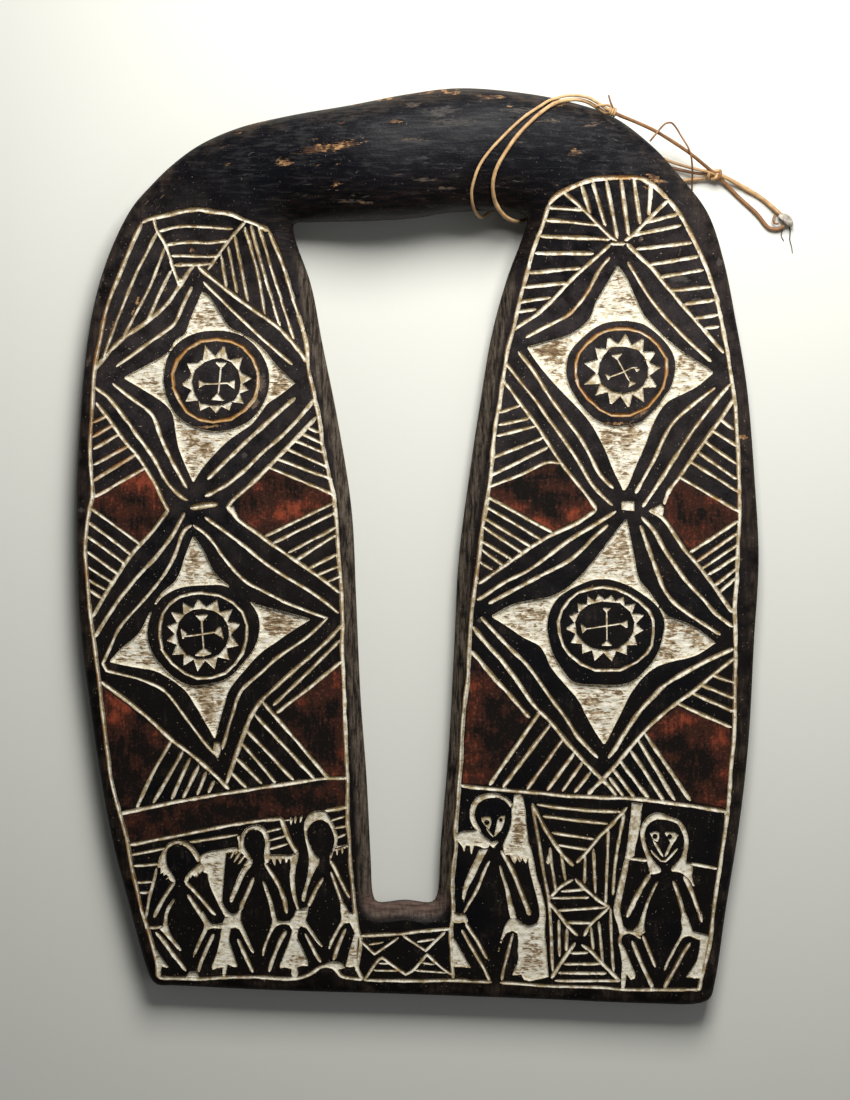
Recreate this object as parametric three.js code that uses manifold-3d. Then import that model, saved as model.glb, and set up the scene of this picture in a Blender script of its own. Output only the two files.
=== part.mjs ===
// A carved wooden dance shield with a split-cane tie, lying on its back.
// Millimetres, +Z up. The carved face looks up, the arched grip end points to +Y,
// and the origin is the middle of the board's footprint on the surface it lies on.
import * as THREE from "three";
import { mergeVertices } from "three/addons/utils/BufferGeometryUtils.js";
import Module from "manifold-3d";

const wasm = await Module();
wasm.setup();

// ---- driving sizes -------------------------------------------------------
const PANEL_THICKNESS = 21; // board thickness in the two flat panels
const BAR_THICKNESS = 58; // height of the rounded grip bar at mid span
const BAR_LIFT = 6; // the bar's back stays this far off the ground
const BAR_ROUNDNESS = 2.15; // superellipse exponent of the bar's section
const BAR_EDGE_HALF = 1.6; // half height of the narrow edge of the bar
const BAR_MIDLINE = 0.47; // height of that edge, as a share of the bar's thickness
const RIM_WIDTH = 13; // margin outside the frame groove, which slopes down
const RIM_DROP = 2.2;
const RIM_ROUND = 4; // rounding of the outer arris
const BEVEL_WIDTH = 11; // chamfer round the opening
const BEVEL_DROP = 8.5;
const BEVEL_ROUND = 1.5;
const BACK_ROUND = 3; // rounding of the back arrises
const FAN_CENTRE_Y = 144.9; // the bar and the panels merge by angle about this point
const THICKNESS_FADE = [88, 12]; // degrees from the +Y axis: flat panel, full bar
const LIFT_FADE = [82, 50];
const SECTION_FADE = [78, 46];

const STAR_DEPTH = 3; // sunk fields of the four stars
const STAR_SAG = 0.45; // how far a star's sides bow towards its middle
const GROOVE_DEPTH = 1.7; // carved V lines
const GROOVE_HALF = 1.5; // half their width at the surface

// Outline and opening, each a closed centripetal spline through stations.
// prettier-ignore
const OUTLINE = [
  [24.6, 300.9], [-7.0, 297.0], [-44.5, 289.8], [-84.0, 283.5], [-118.3, 275.9], [-143.3, 265.4], [-161.8, 252.2],
  [-176.2, 238.4], [-187.4, 225.9], [-197.3, 208.7], [-207.2, 185.0], [-215.1, 156.1], [-219.7, 124.4], [-223.0, 84.9],
  [-225.3, 38.8], [-225.0, -13.9], [-222.3, -60.0], [-217.1, -99.5], [-209.8, -148.9], [-201.9, -191.7], [-191.4, -232.5],
  [-180.2, -273.4], [-176.2, -283.9], [-172.3, -287.8], [-159.8, -288.5], [-90.6, -291.8], [-11.6, -294.1], [87.2, -297.7],
  [153.1, -300.4], [185.3, -300.4], [193.2, -297.1], [196.5, -286.5], [203.8, -237.8], [213.0, -179.8], [218.9, -125.8],
  [222.5, -60.0], [225.5, -7.3], [222.9, 45.4], [217.6, 108.0], [210.4, 150.8], [202.5, 189.0], [191.3, 221.3],
  [174.1, 243.6], [153.7, 265.4], [128.0, 283.8], [97.1, 293.4], [60.9, 299.0],
];
// prettier-ignore
const OPENING = [
  [-1.7, 217.0], [-28.1, 215.3], [-70.9, 215.0], [-81.4, 214.0], [-81.1, 206.1], [-70.9, 175.8], [-63.6, 137.6],
  [-53.1, 84.9], [-43.9, 25.7], [-40.9, -33.6], [-37.9, -99.5], [-34.0, -152.2], [-31.3, -204.9], [-29.7, -229.9],
  [-27.4, -234.5], [-8.3, -233.5], [9.5, -234.8], [12.8, -230.5], [15.4, -195.0], [20.7, -132.4], [24.3, -66.6],
  [27.3, -7.3], [33.9, 45.4], [41.8, 98.1], [49.7, 144.2], [59.5, 179.8], [67.4, 200.8], [72.1, 217.0],
  [68.8, 220.6], [47.7, 221.9], [21.3, 220.6],
];
// Stations of the outline and of the opening that face each other across the wood.
// prettier-ignore
const ACROSS = [
  [0, 0], [3, 2], [7, 3], [9, 4.3], [11, 5.5], [13, 7], [15, 8.7], [17, 10], [19, 12], [21, 13.2], [23, 13.8],
  [25, 14.2], [26, 15], [27, 15.9], [29, 16.6], [30, 17], [32, 17.4], [33, 18.2], [34, 19.2], [36, 21], [37, 22],
  [38, 23.4], [39, 24.3], [40, 25.3], [41, 26.6], [42, 27.3], [43, 28], [44, 28.7], [45, 29.5], [46, 30.2], [47, 31],
];
const STATION_STEP = 24; // spacing of the cross-sections along the outline

// ---- outline helpers -----------------------------------------------------
// Point of a closed centripetal Catmull-Rom spline at station u (0 .. P.length).
function splineAt(P, u) {
  const n = P.length,
    i = Math.floor(u),
    f = u - i;
  const at = (k) => P[((k % n) + n) % n];
  const p = [at(i - 1), at(i), at(i + 1), at(i + 2)];
  const t = [0];
  for (let k = 1; k < 4; k++)
    t[k] = t[k - 1] + Math.sqrt(Math.hypot(p[k][0] - p[k - 1][0], p[k][1] - p[k - 1][1]));
  const x = t[1] + (t[2] - t[1]) * f;
  const mix = (a, b, ta, tb) => a.map((v, c) => ((tb - x) * v + (x - ta) * b[c]) / (tb - ta));
  const a1 = mix(p[0], p[1], t[0], t[1]),
    a2 = mix(p[1], p[2], t[1], t[2]),
    a3 = mix(p[2], p[3], t[2], t[3]);
  return mix(mix(a1, a2, t[0], t[2]), mix(a2, a3, t[1], t[3]), t[1], t[2]);
}
function splineLoop(P, perStation) {
  const out = [];
  for (let i = 0; i < P.length * perStation; i++) out.push(splineAt(P, i / perStation));
  return out;
}
function distanceTo(loop, x, y) {
  let best = Infinity;
  for (let i = 0; i < loop.length; i++) {
    const [ax, ay] = loop[i],
      [bx, by] = loop[(i + 1) % loop.length];
    const dx = bx - ax,
      dy = by - ay,
      l = dx * dx + dy * dy;
    const t = l ? Math.min(1, Math.max(0, ((x - ax) * dx + (y - ay) * dy) / l)) : 0;
    best = Math.min(best, Math.hypot(x - ax - t * dx, y - ay - t * dy));
  }
  return best;
}
const outlineFine = splineLoop(OUTLINE, 8),
  openingFine = splineLoop(OPENING, 8);

// ---- the carved surfaces -------------------------------------------------
const smooth = (t) => {
  const c = Math.min(1, Math.max(0, t));
  return c * c * (3 - 2 * c);
};
const fade = ([from, to], angle) => smooth((from - angle) / (from - to));
const arris = (d, r) => (d < r ? r - Math.sqrt(Math.max(0, r * r - (r - d) ** 2)) : 0);

function surfaces(x, y) {
  const dOut = distanceTo(outlineFine, x, y),
    dIn = distanceTo(openingFine, x, y);
  const angle = (Math.atan2(Math.abs(x), y - FAN_CENTRE_Y) * 180) / Math.PI;
  const top = PANEL_THICKNESS + (BAR_THICKNESS - PANEL_THICKNESS) * fade(THICKNESS_FADE, angle);
  const low = BAR_LIFT * fade(LIFT_FADE, angle);
  const w = fade(SECTION_FADE, angle);
  const rim = RIM_DROP * Math.max(0, 1 - dOut / RIM_WIDTH) ** 1.6 + arris(dOut, RIM_ROUND);
  const bevel = BEVEL_DROP * Math.max(0, 1 - dIn / BEVEL_WIDTH) ** 1.1 + arris(dIn, BEVEL_ROUND);
  const panelFront = top - rim - bevel;
  const panelBack = low + arris(dOut, BACK_ROUND) + arris(dIn, BACK_ROUND);
  const s = dOut / (dOut + dIn + 1e-9);
  const bow = Math.max(0, 1 - Math.abs(2 * s - 1) ** BAR_ROUNDNESS) ** (1 / BAR_ROUNDNESS);
  const mid = low + BAR_MIDLINE * (top - low);
  const barFront = mid + BAR_EDGE_HALF + (top - mid - BAR_EDGE_HALF) * bow;
  const barBack = mid - BAR_EDGE_HALF - (mid - BAR_EDGE_HALF - low) * bow;
  return [panelFront + (barFront - panelFront) * w, panelBack + (barBack - panelBack) * w, w];
}

// ---- the board: cross-sections lofted round the ring ---------------------
function stations() {
  const list = [];
  for (let k = 0; k < ACROSS.length - 1; k++) {
    const [o0, h0] = ACROSS[k],
      [o1, h1] = ACROSS[k + 1];
    let run = 0,
      before = splineAt(OUTLINE, o0);
    for (let i = 1; i <= 8; i++) {
      const p = splineAt(OUTLINE, o0 + ((o1 - o0) * i) / 8);
      run += Math.hypot(p[0] - before[0], p[1] - before[1]);
      before = p;
    }
    const n = Math.max(o1 - o0, Math.round(run / STATION_STEP));
    for (let i = 0; i < n; i++)
      list.push([splineAt(OUTLINE, o0 + ((o1 - o0) * i) / n), splineAt(OPENING, h0 + ((h1 - h0) * i) / n)]);
  }
  return list;
}
const FRONT_IN = [0, 0.5, 1.8, 4.5, 13]; // column distances from the outline, front
const FRONT_OUT = [11, 5, 1, 0]; // and from the opening
const BACK_IN = [0, 1, 3.2];
const BACK_OUT = [3.2, 1, 0];

function boardGeometry() {
  const rings = stations().map(([o, h]) => {
    const span = Math.hypot(h[0] - o[0], h[1] - o[1]);
    const w = surfaces((o[0] + h[0]) / 2, (o[1] + h[1]) / 2)[2];
    const columns = (ins, outs) => {
      const extra = ins.length > 3 ? 2 : 1; // middle columns, which carry the bar's crown
      const flat = ins.map((d) => d / span);
      const last = 1 - outs[0] / span,
        first = flat[flat.length - 1];
      for (let i = 1; i <= extra; i++) flat.push(first + ((last - first) * i) / (extra + 1));
      outs.forEach((d) => flat.push(1 - d / span));
      return flat.map((t, i) => t + ((1 - Math.cos((Math.PI * i) / (flat.length - 1))) / 2 - t) * w);
    };
    const at = (t, side) => {
      const x = o[0] + (h[0] - o[0]) * t,
        y = o[1] + (h[1] - o[1]) * t;
      return [x, y, surfaces(x, y)[side]];
    };
    return [
      ...columns(FRONT_IN, FRONT_OUT).map((t) => at(t, 0)),
      ...columns(BACK_IN, BACK_OUT).reverse().map((t) => at(t, 1)),
    ];
  });
  return loft(rings, true);
}

// Closed surface through rings of equal count; the rings themselves close on each other or are capped.
function loft(rings, closed) {
  const n = rings[0].length,
    m = rings.length,
    pos = rings.flat(2),
    index = [];
  for (let k = 0; k < (closed ? m : m - 1); k++)
    for (let i = 0; i < n; i++) {
      const a = k * n + i,
        b = k * n + ((i + 1) % n),
        c = ((k + 1) % m) * n + i,
        d = ((k + 1) % m) * n + ((i + 1) % n);
      index.push(a, b, d, a, d, c);
    }
  const g = new THREE.BufferGeometry();
  g.setAttribute("position", new THREE.Float32BufferAttribute(pos, 3));
  g.setIndex(index);
  return g;
}

// ---- solids --------------------------------------------------------------
function solid(geometry) {
  const g = geometry.clone();
  for (const name of Object.keys(g.attributes)) if (name !== "position") g.deleteAttribute(name);
  const m = mergeVertices(g, 1e-4);
  let s = new wasm.Manifold(
    new wasm.Mesh({
      numProp: 3,
      vertProperties: new Float32Array(m.attributes.position.array),
      triVerts: new Uint32Array(m.index.array),
    }),
  );
  if (s.volume() < 0) {
    const flipped = new Uint32Array(m.index.array);
    for (let i = 0; i < flipped.length; i += 3) [flipped[i + 1], flipped[i + 2]] = [flipped[i + 2], flipped[i + 1]];
    s = new wasm.Manifold(
      new wasm.Mesh({ numProp: 3, vertProperties: new Float32Array(m.attributes.position.array), triVerts: flipped }),
    );
  }
  return s;
}
function geometryOf(manifold) {
  const m = manifold.getMesh(),
    n = m.numProp,
    pos = new Float32Array(m.numVert * 3);
  for (let i = 0; i < m.numVert; i++) pos.set(m.vertProperties.subarray(i * n, i * n + 3), i * 3);
  const g = new THREE.BufferGeometry();
  g.setAttribute("position", new THREE.BufferAttribute(pos, 3));
  g.setIndex(new THREE.BufferAttribute(new Uint32Array(m.triVerts), 1));
  g.computeVertexNormals();
  return g;
}
function prism(points, low, high) {
  const shape = new THREE.Shape(points.map(([x, y]) => new THREE.Vector2(x, y)));
  const g = new THREE.ExtrudeGeometry(shape, { depth: high - low, bevelEnabled: false, steps: 1 });
  g.translate(0, 0, low);
  return solid(g);
}

// A four-pointed star whose sides bow in towards its middle.
function star(tips, centre) {
  const out = [];
  tips.forEach((a, i) => {
    const b = tips[(i + 1) % tips.length];
    const pull = [0, 1].map((c) => (a[c] + b[c]) / 2 + STAR_SAG * (centre[c] - (a[c] + b[c]) / 2));
    for (let k = 0; k < 4; k++) {
      const t = k / 4;
      out.push([0, 1].map((c) => (1 - t) ** 2 * a[c] + 2 * t * (1 - t) * pull[c] + t * t * b[c]));
    }
  });
  return out;
}
const ellipse = ([cx, cy], [rx, ry], n) =>
  Array.from({ length: n }, (_, i) => [
    cx + rx * Math.cos((2 * Math.PI * i) / n),
    cy + ry * Math.sin((2 * Math.PI * i) / n),
  ]);

// A V groove along a closed line, following the front surface.
function grooveCutter(line) {
  const above = 6,
    half = (GROOVE_HALF * (GROOVE_DEPTH + above)) / GROOVE_DEPTH,
    n = line.length;
  const rings = line.map((p, i) => {
    const a = line[(i + n - 1) % n],
      b = line[(i + 1) % n];
    const u = new THREE.Vector2(p[0] - a[0], p[1] - a[1]).normalize(),
      v = new THREE.Vector2(b[0] - p[0], b[1] - p[1]).normalize();
    const across = new THREE.Vector2(-(u.y + v.y), u.x + v.x).normalize();
    const reach = half / Math.max(0.55, Math.abs(across.x * -u.y + across.y * u.x));
    const z = surfaces(p[0], p[1])[0];
    return [
      [p[0] + across.x * reach, p[1] + across.y * reach, z + above],
      [p[0], p[1], z - GROOVE_DEPTH],
      [p[0] - across.x * reach, p[1] - across.y * reach, z + above],
    ];
  });
  return solid(loft(rings, true));
}

// ---- the carved layout ---------------------------------------------------
// prettier-ignore
const FRAMES = [
  [
    [-180.9, 214.0], [-169.7, 218.0], [-149.2, 221.9], [-134.1, 220.9], [-114.7, 215.7], [-97.2, 208.4], [-86.0, 179.1],
    [-76.8, 148.8], [-72.2, 119.8], [-65.9, 91.5], [-59.0, 50.7], [-53.7, 20.4], [-50.4, -27.7], [-48.5, -95.5],
    [-46.2, -154.8], [-44.2, -207.5], [-39.5, -249.6], [-38.6, -281.3], [-91.9, -282.6], [-143.3, -283.0], [-171.0, -282.6],
    [-177.2, -251.6], [-188.1, -210.8], [-196.9, -171.3], [-204.6, -131.1], [-210.5, -81.0], [-215.1, -46.8], [-218.4, -7.3],
    [-215.1, 35.5], [-215.1, 83.0], [-213.1, 115.9], [-205.9, 154.7], [-194.7, 183.7],
  ],
  [
    [85.9, 225.9], [102.3, 236.4], [124.1, 241.7], [143.2, 242.7], [156.4, 237.1], [170.8, 221.9], [181.4, 203.5],
    [193.9, 175.2], [201.1, 144.2], [209.0, 96.8], [211.7, 43.4], [211.0, 0.6], [209.0, -56.0], [209.0, -106.7],
    [205.1, -166.7], [196.5, -225.3], [189.3, -273.4], [185.3, -290.1], [120.1, -288.8], [54.3, -285.5], [23.3, -283.2],
    [22.0, -249.6], [23.3, -210.8], [27.3, -152.2], [29.2, -119.9], [34.5, -60.0], [40.4, -5.3], [46.4, 37.5],
    [51.0, 81.6], [58.9, 126.4], [66.1, 158.7], [78.6, 204.1],
  ],
];
// prettier-ignore
const DIAMONDS = [
  [
    [-145.9, 186.4], [-178.9, 149.5], [-211.1, 117.9], [-213.1, 111.9], [-194.0, 88.2], [-174.9, 61.9], [-156.5, 36.8],
    [-145.9, 30.3], [-112.4, 54.0], [-87.3, 76.4], [-68.2, 100.1], [-68.9, 111.3], [-78.8, 131.7], [-110.4, 159.3],
  ],
  [
    [-149.9, 24.3], [-173.6, -6.6], [-200.0, -37.6], [-212.5, -60.0], [-209.2, -86.3], [-192.7, -98.8], [-161.1, -125.8],
    [-132.8, -149.5], [-124.9, -155.5], [-113.7, -119.9], [-103.1, -100.1], [-68.9, -68.5], [-51.1, -46.8], [-61.6, -34.3],
    [-95.9, -12.5], [-118.9, 5.9], [-140.0, 21.7],
  ],
  [
    [132.0, 199.5], [102.3, 178.4], [77.3, 154.1], [62.2, 142.9], [58.2, 123.1], [77.7, 96.8], [97.7, 69.8],
    [114.2, 43.7], [128.6, 28.9], [139.9, 23.7], [148.1, 27.8], [160.3, 46.1], [182.7, 80.3], [204.4, 108.6],
    [201.8, 129.7], [181.2, 152.8], [153.7, 185.7],
  ],
  [
    [134.6, 24.3], [103.9, 8.5], [71.0, -15.2], [41.1, -33.6], [38.1, -51.1], [67.2, -88.9], [97.7, -126.5],
    [122.1, -152.2], [149.8, -119.9], [168.2, -103.2], [206.4, -71.8], [206.4, -51.4], [177.4, -21.1], [155.7, 12.5],
    [147.6, 21.0],
  ],
];
// prettier-ignore
const STARS = [
  { tips: [[-142.0, 169.9], [-194.7, 112.9], [-147.9, 42.8], [-80.7, 109.6]], middle: [-136.7, 109.3], disc: [-132.3, 110.9], radii: [35.1, 32.6] },
  { tips: [[-147.6, 9.8], [-203.9, -74.5], [-133.4, -126.2], [-69.5, -46.1]], middle: [-142.0, -57.3], disc: [-141.7, -56.3], radii: [36.1, 31.9] },
  { tips: [[131.6, 187.5], [71.3, 133.5], [135.7, 37.2], [195.9, 116.4]], middle: [133.3, 117.2], disc: [133.6, 115.7], radii: [35.8, 34.7] },
  { tips: [[136.9, 19.9], [47.6, -44.2], [123.1, -130.0], [197.0, -61.9]], middle: [124.1, -54.7], disc: [124.0, -55.2], radii: [38.9, 35.2] },
];
const DISC_SIDES = 20;

function cutStar({ tips, middle, disc, radii }) {
  const follow = (points, depth) => {
    const g = new THREE.ExtrudeGeometry(new THREE.Shape(points.map(([x, y]) => new THREE.Vector2(x, y))), {
      depth: 1,
      bevelEnabled: false,
      steps: 1,
    });
    const p = g.attributes.position;
    for (let i = 0; i < p.count; i++)
      p.setZ(i, p.getZ(i) > 0.5 ? 90 : surfaces(p.getX(i), p.getY(i))[0] - depth);
    return solid(g);
  };
  return follow(star(tips, middle), STAR_DEPTH).subtract(prism(ellipse(disc, radii, DISC_SIDES), -10, 100));
}

function makeBoard() {
  const cutters = [...STARS.map(cutStar), ...FRAMES.map(grooveCutter), ...DIAMONDS.map(grooveCutter)];
  return cutters.reduce((board, cutter) => board.subtract(cutter), solid(boardGeometry()));
}

// ---- the cane tie --------------------------------------------------------
// Each strand: its thickness and the route of its middle. The two loops pass over the
// front of the bar, through the opening and back under the bar to the large knot.
// prettier-ignore
const STRANDS = {
  cane_loop_outer: { thick: 2.1, route: [
    [122.8, 287.1, 36.5], [117, 291.1, 37.4], [110.9, 294.2, 38.2], [104, 295.3, 38.8], [97, 295.1, 39.3], [90.3, 293.4, 39.3],
    [85, 290.9, 43], [80.4, 287.4, 47], [75.3, 283.7, 49.9], [70, 279.7, 52.4], [64.9, 275.3, 54.1], [60, 270.5, 55.7],
    [55.1, 265.5, 56.4], [50.3, 260.5, 57], [45.7, 255.2, 57.1], [41.6, 249.6, 56.8], [38.4, 243.5, 55.6], [36.3, 237.2, 53.5],
    [35, 231.3, 49.9], [35.3, 226.1, 45.3], [36.5, 222.3, 39.6], [38, 220.2, 33.1], [40, 218.6, 26.5], [42.3, 218.7, 19.9],
    [44.3, 220.3, 13.4], [46.9, 223, 7.6], [51.4, 226.4, 3.4], [57.4, 229.6, 1.8], [63.8, 232.3, 1.6], [70.3, 234.9, 1.5],
    [76.9, 237.4, 1.5], [83.4, 239.9, 1.4], [90, 242.3, 1.4], [96.6, 244.7, 1.4], [103.2, 247, 1.4], [109.8, 249.4, 1.4],
    [116.4, 251.6, 1.4], [123.1, 253.9, 1.4], [129.7, 256.1, 1.4], [136.4, 258.2, 1.4], [143.2, 260.1, 1.6], [150, 261.6, 2.1],
    [156.9, 261.7, 2.9], [163.5, 259.7, 4.2], [169.8, 257, 5.5], [176.3, 254.7, 6.8], [182.9, 252.6, 8.1], [189.6, 250.9, 8.9],
  ] },
  cane_loop_inner: { thick: 2.6, route: [
    [122.8, 284.8, 33.6], [116.9, 288.5, 34.3], [110.9, 291.7, 35.3], [104.4, 292.9, 37.2], [97.6, 292.4, 38.4], [91.8, 290.6, 41.6],
    [86.9, 287.8, 45.6], [81.9, 284, 48.5], [77.1, 279.8, 51.2], [72.3, 275.1, 53], [67.6, 270.2, 54.5], [63.2, 264.9, 55.3],
    [59.2, 259.3, 55.7], [55.4, 253.5, 55.5], [52, 247.5, 54.8], [49.6, 241.3, 53.1], [48.7, 235, 50.4], [49.3, 229.5, 46.2],
    [50.8, 225, 41.2], [53.7, 220.6, 36.8], [57.5, 217.3, 32.2], [61.2, 216, 26.4], [64.7, 215.9, 20.5], [68, 216.8, 14.4],
    [71.4, 218.9, 8.8], [75.8, 222, 4.5], [81.5, 225.3, 2.3], [87.7, 228.1, 1.6], [94.2, 230.6, 1.5], [100.8, 232.8, 1.6],
    [107.4, 234.8, 1.6], [114.1, 236.5, 1.6], [120.9, 237.9, 1.6], [127.7, 239.2, 1.6], [134.6, 240.3, 1.6], [141.4, 241.3, 1.7],
    [148.3, 242.1, 1.8], [155.2, 242.8, 1.9], [162.1, 243.4, 2.1], [169, 244.2, 2.4], [175.9, 245.1, 2.8], [182.7, 245.9, 3.3],
    [189.6, 246.7, 3.6],
  ] },
  cane_spare_end: { thick: 2.2, route: [
    [126.7, 244.3, 1.3], [133.6, 246.5, 1.3], [140.5, 248.7, 1.3], [147.4, 250.8, 1.3], [154.4, 252.7, 1.5], [161.5, 253.9, 1.8],
    [168.7, 253.8, 2.6], [175.6, 252.2, 3.7], [182.5, 250.4, 5.2], [189.5, 249.2, 6.3],
  ] },
  cane_link: { thick: 2.4, route: [
    [132, 283.2, 34], [138.6, 281, 32], [145.2, 278.7, 29.9], [151.6, 276.3, 27.5], [157.8, 273.7, 24.9], [163.8, 270.7, 22.2],
    [169.8, 267.5, 19.6], [175.7, 264.2, 17], [181.5, 260.6, 14.6], [187, 256.7, 12.1], [192.6, 252.6, 9.8],
  ] },
  cane_tail_upper: { thick: 3, route: [
    [203.8, 247.5, 5.6], [209.4, 244.9, 4.1], [215, 242, 2.6], [220.5, 239, 1.9], [226, 235.8, 1.6], [231.3, 232.1, 1.7],
    [236.1, 227.9, 2.2], [240.7, 223.6, 3.2],
  ] },
  cane_tail_lower: { thick: 2.7, route: [
    [202.8, 245.3, 3.6], [206.3, 242, 2.3], [209.9, 238.5, 1.7], [213.4, 235, 1.5], [217.1, 231.6, 1.5], [220.8, 228.3, 1.5],
    [224.5, 224.9, 1.5], [227.9, 221.2, 1.5], [230.9, 217.2, 1.5], [234.5, 213.8, 1.5], [239.3, 213, 1.8], [243.9, 214.7, 2.6],
  ] },
  cane_splinter: { thick: 1.3, route: [
    [152.4, 267.4, 27.5], [155.3, 270.8, 29.4], [158.3, 274.5, 29.2], [161, 277.7, 26.5], [163.9, 280.1, 23.4], [167.6, 280.6, 20.3],
    [170.8, 277.5, 18.6], [173.4, 273.3, 18.2], [176, 269.2, 18.2], [178.5, 264.9, 18.3], [180.3, 260.5, 17.3], [181.3, 256.2, 15.2],
    [181.9, 252, 12.7], [182.2, 248, 9.8], [182.4, 244.1, 6.9], [182.6, 240.3, 3.8], [182.7, 236.4, 0.8],
  ] },
};
const STRAND_SIDES = 8;
// Knots and the gum lump: middle, half sizes, turn about +Z in degrees.
const KNOTS = {
  cane_knot_small: { middle: [127.4, 285.5, 35.3], half: [3.5, 3.1, 3.2], turn: -25 },
  cane_knot_large: { middle: [196.9, 249.3, 5.7], half: [6.4, 4.7, 5.1], turn: -8 },
  gum_lump: { middle: [245.6, 218.9, 4.0], half: [6.2, 3.6, 3.7], turn: -42 },
};

function strandGeometry({ thick, route }) {
  const curve = new THREE.CatmullRomCurve3(route.map((p) => new THREE.Vector3(...p)), false, "centripetal");
  const section = new THREE.Shape(
    Array.from({ length: STRAND_SIDES }, (_, i) => {
      const a = (2 * Math.PI * (i + 0.5)) / STRAND_SIDES;
      return new THREE.Vector2((thick / 2) * Math.cos(a), (thick / 2) * Math.sin(a));
    }),
  );
  const g = new THREE.ExtrudeGeometry(section, { steps: route.length - 1, extrudePath: curve, bevelEnabled: false });
  return geometryOf(solid(g));
}
function knotMesh({ middle, half, turn }, material) {
  const g = new THREE.SphereGeometry(1, 12, 8);
  g.scale(...half);
  const mesh = new THREE.Mesh(geometryOf(solid(g)), material);
  mesh.rotation.z = THREE.MathUtils.degToRad(turn);
  mesh.position.set(...middle);
  return mesh;
}

// ---- materials -----------------------------------------------------------
const blackWood = new THREE.MeshStandardMaterial({ color: 0x1d1b1c, roughness: 0.55, metalness: 0 });
const cane = new THREE.MeshStandardMaterial({ color: 0xb98a55, roughness: 0.5, metalness: 0 });
const gum = new THREE.MeshStandardMaterial({ color: 0x9b9488, roughness: 0.7, metalness: 0 });

// ---- scene graph ---------------------------------------------------------
const shield = new THREE.Group();
const board = new THREE.Mesh(geometryOf(makeBoard()), blackWood);
board.name = "shield_board";
shield.add(board);

const tie = new THREE.Group();
for (const [name, strand] of Object.entries(STRANDS)) {
  const mesh = new THREE.Mesh(strandGeometry(strand), cane);
  mesh.name = name;
  tie.add(mesh);
}
for (const [name, knot] of Object.entries(KNOTS)) {
  const mesh = knotMesh(knot, name === "gum_lump" ? gum : cane);
  mesh.name = name;
  tie.add(mesh);
}
shield.add(tie);

export default shield;
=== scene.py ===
# A carved wooden dance shield lying face up: a thick rounded bar joins two flat panels round a tall opening.
# Its black face is cut with grooves, stars and squatting figures, rubbed with lime, and a cane tie hangs from the bar.
import math

import bpy
import numpy as np
from mathutils import Matrix, Vector
from mathutils.geometry import delaunay_2d_cdt


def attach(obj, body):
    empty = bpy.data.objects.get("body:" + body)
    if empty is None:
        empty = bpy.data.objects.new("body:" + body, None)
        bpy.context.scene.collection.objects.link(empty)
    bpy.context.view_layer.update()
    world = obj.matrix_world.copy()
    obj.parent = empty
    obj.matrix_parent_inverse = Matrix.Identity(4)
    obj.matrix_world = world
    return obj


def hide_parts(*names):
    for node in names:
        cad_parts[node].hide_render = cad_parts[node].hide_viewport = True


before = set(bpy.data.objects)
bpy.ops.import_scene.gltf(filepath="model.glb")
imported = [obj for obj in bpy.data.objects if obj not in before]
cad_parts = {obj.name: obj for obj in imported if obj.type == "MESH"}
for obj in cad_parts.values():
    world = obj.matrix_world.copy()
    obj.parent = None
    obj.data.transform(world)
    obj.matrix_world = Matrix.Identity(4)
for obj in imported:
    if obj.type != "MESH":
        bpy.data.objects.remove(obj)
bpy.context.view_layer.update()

rng = np.random.default_rng(7)
MM = 0.001
scene = bpy.context.scene

# ---- camera ---------------------------------------------------------------
FIELD_HIGH = 0.7245  # metres of the board's plane from the picture's foot to its head
CAMERA_ABOVE = 1.6
camera = bpy.data.objects.new("camera", bpy.data.cameras.new("camera"))
scene.collection.objects.link(camera)
camera.location = (0.0049, -0.0007, 0.021 + CAMERA_ABOVE)
camera.data.sensor_width = 36.0
camera.data.lens = 18.0 * CAMERA_ABOVE / (FIELD_HIGH / 2)
camera.data.clip_start, camera.data.clip_end = 0.05, 30.0
scene.camera = camera


def put(obj):
    scene.collection.objects.link(obj)
    return obj


# ---- noise, splines and distances, in millimetres -------------------------
TABLE = rng.random((64, 64))


def noise(x, y, size_x, size_y=None, shift=0):
    """Smooth noise from 0 to 1 with cells of size_x by size_y."""
    u, v = x / size_x + 17.31 * shift, y / (size_y or size_x) + 5.77 * shift
    i, j = np.floor(u).astype(int), np.floor(v).astype(int)
    f, g = u - i, v - j
    f, g = f * f * (3 - 2 * f), g * g * (3 - 2 * g)
    a, b = TABLE[i % 64, j % 64], TABLE[(i + 1) % 64, j % 64]
    c, d = TABLE[i % 64, (j + 1) % 64], TABLE[(i + 1) % 64, (j + 1) % 64]
    return (a * (1 - f) + b * f) * (1 - g) + (c * (1 - f) + d * f) * g


def smooth(t):
    t = np.clip(t, 0, 1)
    return t * t * (3 - 2 * t)


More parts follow.
